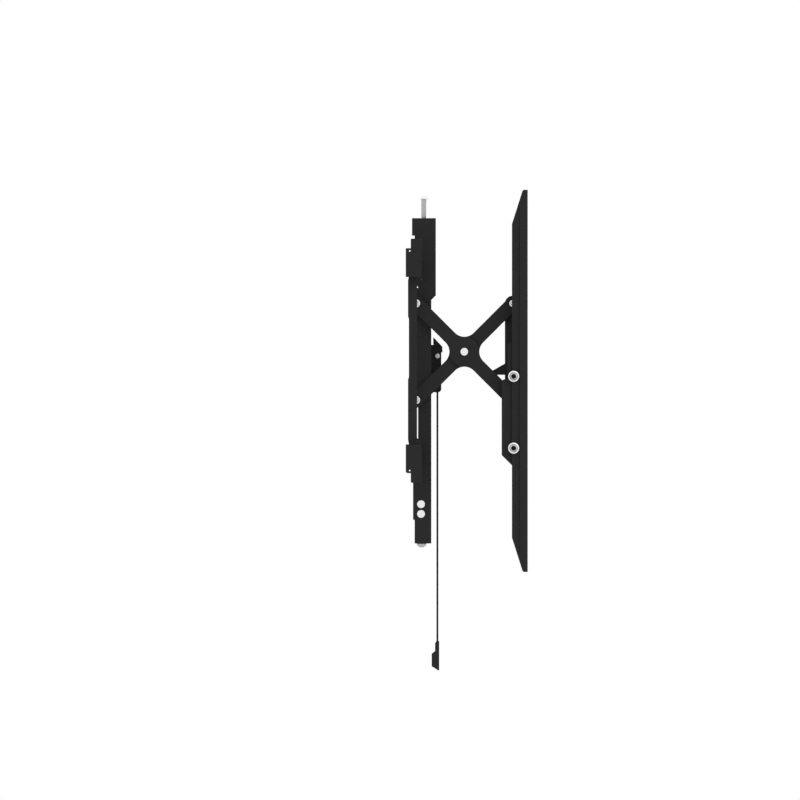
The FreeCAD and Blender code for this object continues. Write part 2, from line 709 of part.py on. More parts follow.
def height_screw(side_name, side):
    """The long screw that lifts a column on its hook."""
    where = Placement(Vector(side * size["column_place"], -size["adjuster_depth"], 0), Rotation())
    head_height = 3.8
    head_low = size["adjuster_top"] - head_height
    head = dome(size["adjuster_head_radius"], head_height)
    head.translate(Vector(0, 0, head_low))
    tip = size["lug_height"] - 2.8
    shank = Part.makeCylinder(size["adjuster_radius"], head_low - tip, Vector(0, 0, tip))
    recess = Part.makeCylinder(2.3, 3.0, Vector(0, 0, size["adjuster_top"] - 2.4))
    screw = head.fuse(shank).cut(recess).removeSplitter()
    made.append(feature(f"height_screw_{side_name}", screw, where))


def lock_screw(side_name, side):
    """The screw under a column that pulls the lock jaw up to the lower rail."""
    where = Placement(Vector(side * size["column_place"], -size["lock_depth"], 0), Rotation())
    low = -size["column_bottom"]
    head_height = 4.6
    gap = 0.3
    head = dome(size["lock_head_radius"], head_height)
    head.rotate(Vector(0, 0, 0), Vector(1, 0, 0), 180)
    head.translate(Vector(0, 0, low - gap))
    top = 2.8 - size["lug_height"]
    shank = Part.makeCylinder(size["lock_radius"], top - low + gap, Vector(0, 0, low - gap))
    recess = Part.makeCylinder(1.9, 2.6, Vector(0, 0, low - gap - head_height))
    screw = head.fuse(shank).cut(recess).removeSplitter()
    made.append(feature(f"lock_screw_{side_name}", screw, where))


for side_name, side in SIDES:
    height_screw(side_name, side)
    lock_screw(side_name, side)


# ---------------------------------------------------------------- cross members between the columns

def cross_member(label, low, high, window=None):
    """A flat plate between the columns with flanges that lie on their inner walls."""
    edge = "column_place - column_width / 2"
    plate = block(f"{label}_plate", f"-({edge})", edge, "column_depth - column_sheet", "column_depth",
                  low, high)
    flanges = [side_block(f"{label}_flange_{name}", side, f"{edge} - column_sheet", edge,
                          "column_depth - 10", "column_depth", low, high) for name, side in SIDES]
    if window is None:
        return fuse(label, [plate] + flanges)
    whole = unlist(fuse(f"{label}_whole", [plate] + flanges))
    return cut(label, whole, window)


finger_window = block("finger_window", "-7", "7", "column_depth - 10", "column_depth + 10", "-24.5", "3")
cross_member("upper_cross_member", "column_top - 36", "column_top - 12")
cross_member("latch_cross_member", "-58", "34", finger_window)


# ---------------------------------------------------------------- scissor

def arm_points(start, end, round_end):
    """Outline of an arm: a strap with round ends and a round hub whose necks are filleted."""
    half = size["arm_width"] / 2
    hub = size["hub_radius"]
    y0, z0 = start
    y1, z1 = end
    length = math.hypot(y1 - y0, z1 - z0)
    along = Vector((y1 - y0) / length, (z1 - z0) / length, 0)
    across = Vector(-along.y, along.x, 0)
    origin = Vector(y0, z0, 0)
    middle = origin + along * (length / 2)
    fillet = size["neck_fillet"]
    neck = math.sqrt((hub + fillet) ** 2 - (half + fillet) ** 2)
    meet = hub / (hub + fillet)
    lean = math.atan2(neck * (1 - meet), (half + fillet) * (1 - meet)) / 2
    deep = fillet * math.sin(lean)
    rise = fillet * (1 - math.cos(lean))

    def at(base, forward, sideways):
        return base + along * forward + across * sideways

    def neck_arc(forward, sideways):
        """Fillet from the strap's edge at the neck to the hub."""
        edge = at(middle, forward * neck, sideways * half)
        on_arc = at(middle, forward * (neck - deep), sideways * (half + rise))
        on_hub = at(middle, forward * neck * meet, sideways * (half + fillet) * meet)
        return edge, on_arc, on_hub

    far = origin + along * length
    reach = math.sqrt(round_end ** 2 - half ** 2)
    edges = []
    for start_at, end_at, sideways in ((origin, far, 1), (far, origin, -1)):
        first, second = neck_arc(-sideways, sideways), neck_arc(sideways, sideways)
        edges += [Part.LineSegment(at(start_at, sideways * reach, sideways * half), first[0]), Part.Arc(*first),
                  Part.Arc(first[2], at(middle, 0, sideways * hub), second[2]), Part.Arc(*reversed(second)),
                  Part.LineSegment(second[0], at(end_at, -sideways * reach, sideways * half)),
                  Part.Arc(at(end_at, -sideways * reach, sideways * half), at(end_at, sideways * round_end, 0),
                           at(end_at, -sideways * reach, -sideways * half))]
    return edges


def arm(label, side, start, end, round_end, inner, holes):
    """One flat scissor arm."""
    body = new_body(label)
    sketch = body.newObject("Sketcher::SketchObject", "Outline")
    sketch.AttachmentSupport = [(plane_of(body, "YZ_Plane"), "")]
    sketch.MapMode = "FlatFace"
    sketch.addGeometry(arm_points(start, end, round_end), False)
    for depth, height, radius in holes:
        sketch.addGeometry(Part.Circle(Vector(-depth, height, 0), Vector(0, 0, 1), radius), False)
    doc.recompute()
    plate = body.newObject("PartDesign::Pad", "Pad")
    plate.Profile = sketch
    bind(plate, "Length", "arm_thickness")
    place_x(body, side_x(side, inner, "arm_thickness"))


for side_name, side in SIDES:
    arm(f"outer_arm_{side_name}", side, (-REAR, HIGH), (-FRONT, LOW), size["arm_end_radius"], OUTER_ARM,
        [(REAR, HIGH, SHANK), (MIDDLE_DEPTH, MIDDLE_HEIGHT, SHANK), (FRONT, LOW, SHANK)])
    arm(f"inner_arm_{side_name}", side, (-REAR, LOW), (-FRONT, HIGH), size["inner_end_radius"], INNER_ARM,
        [(REAR, LOW, SHANK), (MIDDLE_DEPTH, MIDDLE_HEIGHT, RUNNING), (FRONT, HIGH, RUNNING)])


def cross_shaft(label, end_face, height):
    """A shaft through both columns, thick between them and thin where it turns in them."""
    between = "(column_place - column_width / 2 - 2)"
    thick = rod(f"{label}_middle", f"-{between}", between, "shaft_radius", REAR, height)
    thin = rod(f"{label}_ends", f"-({end_face})", end_face, "shank_radius", REAR, height)
    heads = [side_rod(f"{label}_head_{name}", side, end_face, f"{end_face} + pin_head_height",
                      "shaft_radius", REAR, height) for name, side in SIDES]
    fuse(label, [thick, thin] + heads)


cross_shaft("upper_shaft", OUTER_FACE, HIGH)
cross_shaft("lower_shaft", f"({INNER_ARM} + arm_thickness)", LOW)


def spacers(label, inner, outer, places):
    """Round spacers or washers on the pins, as separate rings."""
    rings = []
    for side_name, side in SIDES:
        for n, (depth, height) in enumerate(places):
            disc = side_rod(f"{label}_{side_name}_{n}_disc", side, inner, outer, "pin_head_radius + 1.5",
                            depth, height)
            bore = side_rod(f"{label}_{side_name}_{n}_bore", side, f"({inner}) - 1", f"({outer}) + 1",
                            "shank_radius", depth, height)
            rings.append(unlist(cut(f"{label}_{side_name}_{n}", disc, bore)))
    group(label, rings)


GAP = "side_gap / 4"
spacers("outer_arm_spacers", f"{COLUMN_FACE} + {GAP}", OUTER_ARM, [(REAR, HIGH), (FRONT, LOW)])
spacers("inner_arm_washers", f"{COLUMN_FACE} + {GAP}", INNER_ARM, [(REAR, LOW)])
spacers("hub_washers", f"{INNER_ARM} + arm_thickness + {GAP}", OUTER_ARM, [(MIDDLE_DEPTH, MIDDLE_HEIGHT)])


def headed_pins(label, inner, outer, head_radius, depth, height):
    """A pair of pins with round heads on the outside."""
    pins = []
    for side_name, side in SIDES:
        shank = side_rod(f"{label}_{side_name}_shank", side, inner, outer, "shank_radius", depth, height)
        head = side_rod(f"{label}_{side_name}_head", side, outer, f"({outer}) + pin_head_height",
                        head_radius, depth, height)
        pins.append(unlist(fuse(f"{label}_{side_name}", [shank, head])))
    group(label, pins)


headed_pins("hub_pins", INNER_ARM, OUTER_FACE, "pin_head_radius", MIDDLE_DEPTH, MIDDLE_HEIGHT)
POST_INSIDE = f"({COLUMN_FACE} - 2 * front_sheet)"
headed_pins("front_upper_pins", POST_INSIDE, f"({INNER_ARM} + arm_thickness + {GAP})", "front_pin_radius",
            FRONT, HIGH)
headed_pins("front_lower_pins", POST_INSIDE, OUTER_FACE, "front_pin_radius", FRONT, LOW)
spacers("front_upper_washers", COLUMN_FACE, f"({INNER_ARM} - {GAP})", [(FRONT, HIGH)])


# ---------------------------------------------------------------- front frame

def front_post(side_name, side):
    """A square tube, open at its ends, that the scissor's front ends run in."""
    back = size["front_back_depth"]
    front = size["front_wall_depth"]
    top = size["front_post_top"]
    bottom = SHUT - size["post_drop"]
    sheet_t = size["front_sheet"]
    body = new_body(f"front_post_{side_name}")
    corner = 6
    outline = [yz(back, bottom, 3), yz(front, bottom, 3), yz(front, top, 3), yz(back + corner, top),
               yz(back, top - corner)]
    pad(body, "YZ_Plane", [outline], "front_post_width", middle=True)
    hollow = [yz(back + sheet_t, bottom - 5), yz(front - sheet_t, bottom - 5),
              yz(front - sheet_t, top + 5), yz(back + sheet_t, top + 5)]
    pocket(body, "YZ_Plane", [hollow], "front_post_width - 2 * front_sheet", middle=True)
    pin_slot = slot_points(-FRONT, (LOW + SHUT) / 2, LOW - SHUT + 2 * RUNNING + 2 * PLAY, RUNNING)
    pocket(body, "YZ_Plane", [pin_slot], "2 * front_post_width", [(-FRONT, HIGH, SHANK)], middle=True)
    place_x(body, f"{side} * (column_place + column_width / 2 - front_post_width / 2)")


for side_name, side in SIDES:
    front_post(side_name, side)

TIE_END = f"({COLUMN_FACE} - tie_inset)"
TIES = [("upper_front_tie", "upper_tie_rise"), ("middle_front_tie", "-middle_tie_drop"),
        ("lower_front_tie", "-lower_tie_drop")]
for label, low in TIES:
    tie = block(label, f"-{TIE_END}", TIE_END, "front_wall_depth",
                "front_wall_depth + tie_thickness", low, f"{low} + tie_height")
    made.append(tie)


def tie_rivets():
    """Round rivets that close the front ties onto the posts."""
    heads = []
    for label, low in TIES:
        for side_name, side in SIDES:
            x = f"{side} * (column_place + column_width / 2 - front_sheet / 2 - 9)"
            head = doc.addObject("Part::Cylinder", f"{label}_rivet_{side_name}")
            head.Placement = Placement(Vector(0, 0, 0), Rotation(Vector(1, 0, 0), 90))
            bind(head, "Radius", "pin_head_radius - 1")
            bind(head, "Height", "0.5")
            bind(head, "Placement.Base.x", x)
            bind(head, "Placement.Base.y", "-(front_wall_depth + tie_thickness)")
            bind(head, "Placement.Base.z", f"{low} + tie_height / 2")
            heads.append(head)
    group("tie_rivets", heads)


tie_rivets()


def tilt_bracket(side_name, side):
    """The plate beside the television rail, with a front flange that runs to the front post."""
    back = size["bracket_back_depth"]
    start = -size["bracket_top"]
    bottom = -size["bracket_bottom"]
    front = size["front_wall_depth"]
    step = size["front_back_depth"]
    chamfer = size["tv_back_depth"] - back
    outline = [yz(back, bottom + chamfer), yz(back + chamfer, bottom), yz(front, bottom, 3),
               yz(front, 20, 3), yz(step + 3, 20, 3), yz(step + 3, start, 3), yz(back, start, 4)]
    side_leg = new_body(f"bracket_leg_{side_name}")
    holes = [(-size["tilt_depth"], -size["tilt_height"], size["tilt_screw_radius"]),
             (-size["tilt_depth"], -size["tilt_height"] - size["tilt_spacing"], size["tilt_screw_radius"])]
    pad(side_leg, "YZ_Plane", [outline], "front_sheet", holes)
    place_x(side_leg, side_x(side, "bracket_place", "front_sheet"))
    flange = side_block(f"bracket_flange_{side_name}", side, COLUMN_FACE, "bracket_place + front_sheet",
                        "front_wall_depth - front_sheet", "front_wall_depth", "-60", "20")
    fuse(f"tilt_bracket_{side_name}", [unlist(side_leg), flange])


for side_name, side in SIDES:
    tilt_bracket(side_name, side)


def tilt_screws():
    """The flanged button-head screws: the upper pair is the tilt axis, the lower pair locks it."""
    outer_face = size["tv_rail_outer"]
    inner_face = size["bracket_place"] - 5.5
    for label, height in (("tilt_pivot_screws", -size["tilt_height"]),
                          ("tilt_lock_screws", -size["tilt_height"] - size["tilt_spacing"])):
        screws = []
        for side_name, side in SIDES:
            gap = 0.1
            shank = Part.makeCylinder(size["tilt_screw_radius"], outer_face + gap - inner_face)
            flange = Part.makeCylinder(size["tilt_flange_radius"], 1.4, Vector(0, 0, outer_face + gap - inner_face))
            shoulder = Part.makeCylinder(size["tilt_screw_radius"] + 0.2, size["tv_joggle"],
                                         Vector(0, 0, outer_face + gap - inner_face - size["tv_joggle"]))
            head = dome(size["tilt_head_radius"], 3.0)
            head.translate(Vector(0, 0, outer_face + gap - inner_face + 1.4))
            corners = [Vector(2.31 * math.cos(math.radians(60 * n)), 2.31 * math.sin(math.radians(60 * n)),
                              outer_face + gap - inner_face + 1.6) for n in range(7)]
            recess = Part.Face(Part.makePolygon(corners)).extrude(Vector(0, 0, 4))
            screw = shank.fuse([shoulder, flange, head]).cut(recess).removeSplitter()
            turn = Rotation(Vector(0, 1, 0), 90 * side)
            where = Placement(Vector(side * inner_face, -size["tilt_depth"], height), turn)
            screws.append(feature(f"{label}_{side_name}", screw, where))
        group(label, screws)


tilt_screws()


def tilt_nuts():
    """Square weld nuts behind the tilt brackets."""
    nuts = []
    for side_name, side in SIDES:
        for n, height in enumerate(("-tilt_height", "-tilt_height - tilt_spacing")):
            plate = side_block(f"nut_{side_name}_{n}_plate", side, "bracket_place - 5", "bracket_place",
                               "tilt_depth - 5", "tilt_depth + 5", f"{height} - 5", f"{height} + 5")
            bore = side_rod(f"nut_{side_name}_{n}_bore", side, "bracket_place - 8", "bracket_place + 3",
                            "tilt_screw_radius", "tilt_depth", height)
            nuts.append(unlist(cut(f"nut_{side_name}_{n}", plate, bore)))
    group("tilt_nuts", nuts)


tilt_nuts()


# ---------------------------------------------------------------- television rails

def tv_rail_section(side):
    """The rail's section from above: a front web, a side wall, and a rear strip that stands in."""
    outer = size["tv_rail_outer"]
    sheet_t = size["tv_sheet"]
    front = size["tv_front_depth"]
    back = size["tv_back_depth"]
    joggle = size["tv_joggle"]
    bend = back + size["tv_strip"]
    inner = outer - size["tv_rail_width"]
    points = [(inner, front, 0.8), (outer, front, 2.2), (outer, bend, 0.8), (outer - joggle, bend, 0.8),
              (outer - joggle, back, 0.5), (outer - joggle - sheet_t, back, 0.5),
              (outer - joggle - sheet_t, bend + sheet_t, 0.8), (outer - sheet_t, bend + sheet_t, 0.8),
              (outer - sheet_t, front - sheet_t, 1), (inner, front - sheet_t, 0.8)]
    return [(side * x, -depth, radius) for x, depth, radius in points]


def tv_rail(side_name, side):
    """An upright rail with tapered ends, television holes in front and tilt holes in its side."""
    top = size["tv_rail_top"]
    low = top - size["tv_rail_length"]
    body = new_body(f"tv_rail_{side_name}")
    pad(body, "XY_Plane", [tv_rail_section(side)], "tv_rail_length", offset=low)
    back = size["tv_back_depth"]
    taper = size["tv_taper"]
    narrow = back + size["tv_taper_depth"]
    slope = size["tv_taper_depth"] / taper
    reach = "2 * tv_rail_outer + 20"
    corner = 1.5
    wedges = []
    for end, up in ((top, 1), (low, -1)):
        wedges.append([yz(back - 5, end - up * (taper + 5 / slope)),
                       yz(narrow - slope * corner, end - up * corner),
                       yz(narrow + corner / 2, end), yz(narrow + corner / 2, end + up * 9),
                       yz(back - 5, end + up * 9)])
    for wedge in wedges:
        pocket(body, "YZ_Plane", [wedge], reach, middle=True)
    travel = 2 * size["tilt_spacing"] * math.radians(size["tilt_angle"])
    radius = size["tilt_screw_radius"] + size["running_gap"]
    height = -size["tilt_height"]
    lock = slot_points(-size["tilt_depth"], height - size["tilt_spacing"], travel + 2 * radius + 0.6,
                       radius + 0.1, upright=False)
    pocket(body, "YZ_Plane", [lock], reach, [(-size["tilt_depth"], height, radius)], middle=True)
    middle = (top + low) / 2
    x = side * size["vesa_spacing"] / 2
    steps = [size["vesa_spacing"] * share / 8 for share in (-4, -3, -2, -1, 1, 2, 3, 4)]
    holes = [(x, middle + step, size["vesa_hole_radius"]) for step in steps]
    pocket(body, "XZ_Plane", [], "2 * tv_front_depth + 20", holes, middle=True)


for side_name, side in SIDES:
    tv_rail(side_name, side)


# ---------------------------------------------------------------- striker, latch and pull cord

def striker():
    """The finger on the front frame that the latch holds, with a hook under its tip."""
    folded_span = 2 * math.sqrt(2) * size["half_span"] * math.sin(math.radians(45 - size["fold_angle"]))
    retract = FRONT - REAR - folded_span
    hook_front = size["column_depth"] + retract
    tie_face = size["front_wall_depth"]
    outline = [yz(tie_face, 2), yz(tie_face - size["striker_bend"], -size["striker_bend_drop"]),
               yz(tie_face - size["striker_knee"], -size["striker_knee_drop"]),
               yz(hook_front - 10, -14.6),
               yz(hook_front - 10, -16.8), yz(hook_front - 6, -20.6), yz(hook_front, -20.6),
               yz(hook_front, -16.9), yz(tie_face, -16.9)]
    finger = new_body("striker_finger")
    pad(finger, "YZ_Plane", [outline], "striker_thickness", middle=True)
    foot = block("striker_foot", "-14", "14", "front_wall_depth - 3", "front_wall_depth", "-19", "0")
    fuse("striker", [unlist(finger), foot])


striker()


def latch_housing():
    """The bracket on the cross member that guides the slider."""
    back = size["column_depth"]
    bottom = -size["latch_bottom"]
    front = back + 11.5
    top = size["latch_pin_height"] + size["latch_wall_rise"]
    wall = [yz(back + 2.5, top, 0.5), yz(front, top, 1), yz(front, bottom, 4), yz(back, bottom),
            yz(back, -14.8), yz(back + 2.5, -14.8)]
    walls = []
    for name, side in SIDES:
        body = side_plate(f"latch_wall_{name}", side, [wall], "latch_half_width - latch_wall", "latch_wall",
                          [(-size["latch_depth"], size["latch_pin_height"], size["latch_pin_radius"])])
        walls.append(unlist(body))
    inside = "(latch_half_width - latch_wall)"
    back_web = block("latch_back", f"-{inside}", inside, "column_depth", "column_depth + latch_wall",
                     "-latch_bottom", "6 - latch_bottom")
    floor = block("latch_floor", f"-{inside}", inside, "column_depth", "column_depth + 7.5",
                  "-latch_bottom", "latch_wall - latch_bottom")
    ears = [side_block(f"latch_ear_{name}", side, "latch_half_width", "latch_half_width + 12", "column_depth",
                       "column_depth + latch_wall", "-latch_bottom", "22 - latch_bottom")
            for name, side in SIDES]
    cheeks = [side_block(f"latch_lip_{name}", side, "latch_half_width", "latch_half_width + latch_lip_width",
                         "column_depth", "column_depth + latch_lip_depth", "-latch_bottom",
                         "latch_pin_height + latch_lip_rise")
              for name, side in SIDES]
    whole = unlist(fuse("latch_housing_whole", walls + [back_web, floor] + ears + cheeks))
    cord_hole = upright("cord_hole", "0", "latch_depth", "-latch_bottom - 5", "5 - latch_bottom", "cord_radius + 0.8")
    cut("latch_housing", whole, cord_hole)


latch_housing()


def latch_slider():
    """The slider: two cheeks with ramped noses, and a tooth block that the cord pulls down."""
    back = size["latch_depth"] - 4
    front = size["latch_depth"] + 3.6
    nose = size["latch_depth"] + 5.8
    pin = size["latch_pin_height"]
    block_low = -24.6
    outline = [yz(back - 0.8, 17.8), yz(back - 0.8, 26.8, 0.4), yz(nose, 15.4, 1), yz(nose, 8.9),
               yz(front, 8.9), yz(front, block_low), yz(back, block_low), yz(back, 17.8)]
    low = pin - size["latch_catch"] - size["latch_pin_radius"] - 0.1
    high = pin + size["latch_pull"] + size["latch_pin_radius"] + 0.1
    guide = slot_points(-size["latch_depth"], (low + high) / 2, high - low, size["latch_pin_radius"] + 0.05)
    cheeks = []
    for name, side in SIDES:
        cheek = side_plate(f"latch_cheek_{name}", side, [outline, guide], "striker_thickness / 2 + 0.7",
                           "latch_half_width - latch_wall - 0.3 - striker_thickness / 2 - 0.7")
        cheeks.append(unlist(cheek))
    tooth = block("latch_tooth", "-striker_thickness", "striker_thickness", "column_depth + 0.8",
                  "latch_depth + 3.6", "-24.6", "-21.2")
    fuse("latch_slider", cheeks + [tooth])


latch_slider()


def latch_pins_and_screws():
    """The headed pin that guides the slider, and the rivets that hold the housing."""
    half = "latch_half_width"
    shank = rod("latch_pin_shank", f"-{half}", half, "latch_pin_radius", "latch_depth", "latch_pin_height")
    heads = [side_rod(f"latch_pin_head_{name}", side, half, f"{half} + 1.2", "latch_pin_radius + 1.1",
                      "latch_depth", "latch_pin_height") for name, side in SIDES]
    fuse("latch_pin", [shank] + heads)
    rivets = []
    for name, side in SIDES:
        head = doc.addObject("Part::Cylinder", f"latch_rivet_{name}")
        head.Placement = Placement(Vector(0, 0, 0), Rotation(Vector(1, 0, 0), 90))
        bind(head, "Radius", "3.6")
        bind(head, "Height", "1.8")
        bind(head, "Placement.Base.x", f"{side} * (latch_half_width + 6.5)")
        bind(head, "Placement.Base.y", "-(column_depth + latch_wall)")
        bind(head, "Placement.Base.z", "11 - latch_bottom")
        rivets.append(head)
    group("latch_rivets", rivets)


latch_pins_and_screws()


def latch_spring():
    """The return spring round the cord, between the housing's floor and the slider."""
    wire = 0.4
    low = -size["latch_bottom"] + size["latch_wall"] + wire
    high = -24.6 - wire
    turns = 5
    coil = Part.makeHelix((high - low) / turns, high - low, 2.6)
    section = Part.Wire([Part.makeCircle(wire, Vector(2.6, 0, 0), Vector(0, 1, 0))])
    solid = Part.Wire(coil.Edges).makePipeShell([section], True, True)
    where = Placement(Vector(0, -size["latch_depth"], low), Rotation())
    made.append(feature("latch_spring", solid, where))


latch_spring()


def pull_cord():
    """The cord, pulled straight by its tag, from the slider down to the tag."""
    made.append(upright("pull_cord", "0", "latch_depth", "-cord_low_end", "-24.6", "cord_radius"))


pull_cord()


def pull_tag():
    """The flat tag on the cord's end, with a narrow neck and a pointed foot."""
    top = -size["cord_low_end"]
    axis = size["latch_depth"]
    back = axis - size["tag_back"]
    neck = axis - size["tag_neck_back"]
    front = axis + size["tag_front"]
    outline = [yz(axis - 1.2, top), yz(front, top), yz(front, top - size["tag_length"], 0.8),
               yz(back, top - size["tag_heel"], 0.8), yz(back, top - size["tag_shoulder"], 0.8),
               yz(neck, top - size["tag_neck"]), yz(neck, top - 2.6, 0.5)]
    tag = new_body("pull_tag")
    pad(tag, "YZ_Plane", [outline], "14", middle=True)


pull_tag()


# ---------------------------------------------------------------- check and write

doc.recompute()
for obj in doc.Objects:
    if "Invalid" in obj.State or "Error" in obj.State:
        raise RuntimeError(f"{obj.Label} failed: {obj.State}")
os.makedirs("parts", exist_ok=True)
for obj in made:
    shape = obj.Shape
    if shape.isNull() or not shape.isValid() or not shape.Solids:
        raise RuntimeError(f"{obj.Label} has no valid solid")
    shape.exportStep(f"parts/{obj.Label}.step")
print(len(made), "sub-parts written")
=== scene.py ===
import json
import math

import bmesh
import bpy
from mathutils import Matrix, Vector


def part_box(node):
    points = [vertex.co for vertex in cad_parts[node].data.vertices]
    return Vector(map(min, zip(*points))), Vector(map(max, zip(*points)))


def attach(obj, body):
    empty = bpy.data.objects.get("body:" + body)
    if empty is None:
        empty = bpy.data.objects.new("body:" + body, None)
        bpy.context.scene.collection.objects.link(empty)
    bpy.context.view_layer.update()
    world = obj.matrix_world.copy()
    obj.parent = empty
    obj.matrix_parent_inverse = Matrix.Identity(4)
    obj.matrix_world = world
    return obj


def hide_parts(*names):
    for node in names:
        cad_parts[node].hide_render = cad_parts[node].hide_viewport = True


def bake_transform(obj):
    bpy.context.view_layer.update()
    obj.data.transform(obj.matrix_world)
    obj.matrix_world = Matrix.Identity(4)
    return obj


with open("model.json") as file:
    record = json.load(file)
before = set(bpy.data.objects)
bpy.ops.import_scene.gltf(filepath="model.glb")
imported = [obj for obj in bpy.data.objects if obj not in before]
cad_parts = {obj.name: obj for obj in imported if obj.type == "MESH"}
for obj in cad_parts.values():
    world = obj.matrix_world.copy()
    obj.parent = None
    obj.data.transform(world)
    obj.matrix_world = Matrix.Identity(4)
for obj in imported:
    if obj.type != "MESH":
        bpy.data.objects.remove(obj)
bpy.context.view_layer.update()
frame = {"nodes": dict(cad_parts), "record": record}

bl_info = {
    "name": "Pull-out wall mount",
    "version": (1, 0, 0),
    "blender": (4, 5, 0),
    "location": "View3D > Sidebar > Wall mount",
    "description": "Dresses the pull-out wall mount: coats, plating, screws, welds and cord",
    "category": "Object",
}

# Metres. The wall is the plane Y = 0, the mount stands out towards -Y.
# X runs along the wall and Z is up.
NODE_SLOTS = {part["node"]: part["material_slot"] for part in frame["record"]["subparts"]}
SIDES = (("left", -1), ("right", 1))
CORD_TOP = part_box("pull_cord")[1]
CORD_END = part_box("pull_cord")[0]

# The stage: the camera's place and depth of view, what the lamps point at and their width.
CAMERA_PLACE = (-3.0, 0.0066, -0.0458)
VIEW_DEPTH = 20
LIT_PLACE = Vector((0, -0.07, -0.05))
LAMP_WIDTH = 1.6
WHITE = (1, 1, 1, 1)

# The record's plating slot, passed with the screws; keep_piece reads a slot only where no finishes
# are given, and the screws all have theirs.
SCREW_SLOT = "zinc_plated_steel"

# How many points the round shapes have in a turn.
SCREW_POINTS = 40
COIL_STEPS = 24
WIRE_POINTS = 10
BEAD_POINTS = 12

# Degrees between two faces, over which they are shaded as an edge and rounded as an edge,
# and under which they are one flat face.
SHADED_SHARP = 32
ROUNDED_SHARP = 40
FLAT_WITHIN = 0.5


# ---------------------------------------------------------------- settings

class MountFinishSettings(bpy.types.PropertyGroup):
    """Colours and surface finish of the mount."""

    coat_colour: bpy.props.FloatVectorProperty(
        name="Powder coat", description="Colour of the black powder coat on the folded steel",
        subtype="COLOR", size=3, min=0.0, max=1.0, default=(0.0178, 0.0178, 0.0183))
    coat_roughness: bpy.props.FloatProperty(
        name="Coat roughness", description="How matt the powder coat is",
        subtype="FACTOR", min=0.0, max=1.0, default=0.52)
    coat_grain: bpy.props.FloatProperty(
        name="Coat grain", description="Size of the powder coat's fine orange peel",
        unit="LENGTH", min=0.0001, max=0.01, default=0.0007)
    zinc_colour: bpy.props.FloatVectorProperty(
        name="Zinc plate", description="Colour of the zinc plated screws, pins and rivets",
        subtype="COLOR", size=3, min=0.0, max=1.0, default=(0.90, 0.905, 0.91))
    zinc_roughness: bpy.props.FloatProperty(
        name="Zinc roughness", description="How matt the zinc plate is",
        subtype="FACTOR", min=0.0, max=1.0, default=0.34)
    # Painted shade: a darker copy of the zinc colour for the threads, the nuts and some of the
    # heads.
    screw_colour: bpy.props.FloatVectorProperty(
        name="Zinc in painted shade", description="Colour of the zinc in painted shade on the screws and nuts",
        subtype="COLOR", size=3, min=0.0, max=1.0, default=(0.47, 0.475, 0.485))
    # Painted shade: the near-black colour inside the sockets.
    socket_colour: bpy.props.FloatVectorProperty(
        name="Screw sockets", description="Colour of the shade painted inside the sockets",
        subtype="COLOR", size=3, min=0.0, max=1.0, default=(0.005, 0.005, 0.005))
    plastic_colour: bpy.props.FloatVectorProperty(
        name="Black plastic", description="Colour of the moulded end caps and the pull tag",
        subtype="COLOR", size=3, min=0.0, max=1.0, default=(0.0110, 0.0110, 0.0115))
    nylon_colour: bpy.props.FloatVectorProperty(
        name="Nylon washers", description="Colour of the low-friction washers",
        subtype="COLOR", size=3, min=0.0, max=1.0, default=(0.02, 0.02, 0.021))
    edge_round: bpy.props.FloatProperty(
        name="Sheet edge rounding", description="Rounding of the cut steel edges under the coat",
        unit="LENGTH", min=0.00005, max=0.002, default=0.00035)
    head_round: bpy.props.FloatProperty(
        name="Head rounding", description="Rounding of the pins' and rivets' heads",
        unit="LENGTH", min=0.0001, max=0.003, default=0.0009)


class MountScrewSettings(bpy.types.PropertyGroup):
    """Sizes of the screws' and the spring's detail."""

    height_pitch: bpy.props.FloatProperty(
        name="Height screw pitch", description="Thread pitch of the height screws",
        unit="LENGTH", min=0.0003, max=0.003, default=0.001)
    lock_pitch: bpy.props.FloatProperty(
        name="Lock screw pitch", description="Thread pitch of the lock screws",
        unit="LENGTH", min=0.0003, max=0.003, default=0.0008)
    thread_depth: bpy.props.FloatProperty(
        name="Thread depth", description="Depth of the threads under their crests",
        unit="LENGTH", min=0.0001, max=0.001, default=0.00045)
    socket_depth: bpy.props.FloatProperty(
        name="Socket depth", description="Depth of the hexagon sockets",
        unit="LENGTH", min=0.0005, max=0.004, default=0.0022)
    spring_wire: bpy.props.FloatProperty(
        name="Spring wire", description="Thickness of the return spring's wire",
        unit="LENGTH", min=0.0002, max=0.0008, default=0.0007)


class MountCordSettings(bpy.types.PropertyGroup):
    """The pull cord."""

    diameter: bpy.props.FloatProperty(
        name="Cord diameter", description="Thickness of the braided pull cord",
        unit="LENGTH", min=0.0005, max=0.005, default=0.0022)
    colour: bpy.props.FloatVectorProperty(
        name="Cord", description="Colour of the braided cord",
        subtype="COLOR", size=3, min=0.0, max=1.0, default=(0.0100, 0.0100, 0.0105))
    strands: bpy.props.IntProperty(
        name="Strands", description="Strands in the braid each way round the cord",
        min=3, max=16, default=6)


class MountStageSettings(bpy.types.PropertyGroup):
    """Floor, light and camera."""

    floor_height: bpy.props.FloatProperty(
        name="Floor height", description="Height of the pale studio floor",
        unit="LENGTH", default=-0.53)
    floor_size: bpy.props.FloatProperty(
        name="Floor size", description="Width of the studio floor",
        unit="LENGTH", min=1.0, default=14.0)
    frame_height: bpy.props.FloatProperty(
        name="View height", description="Height of what the camera shows",
        unit="LENGTH", min=0.1, default=0.92)
    key_power: bpy.props.FloatProperty(
        name="Key light", description="Strength of the large soft light",
        unit="POWER", min=0.0, default=4.0)
    fill_power: bpy.props.FloatProperty(
        name="Fill light", description="Strength of the light from the other side",
        unit="POWER", min=0.0, default=4.0)
    sky_strength: bpy.props.FloatProperty(
        name="Room light", description="Strength of the even light of the room",
        min=0.0, default=0.92)


# ---------------------------------------------------------------- shader nodes

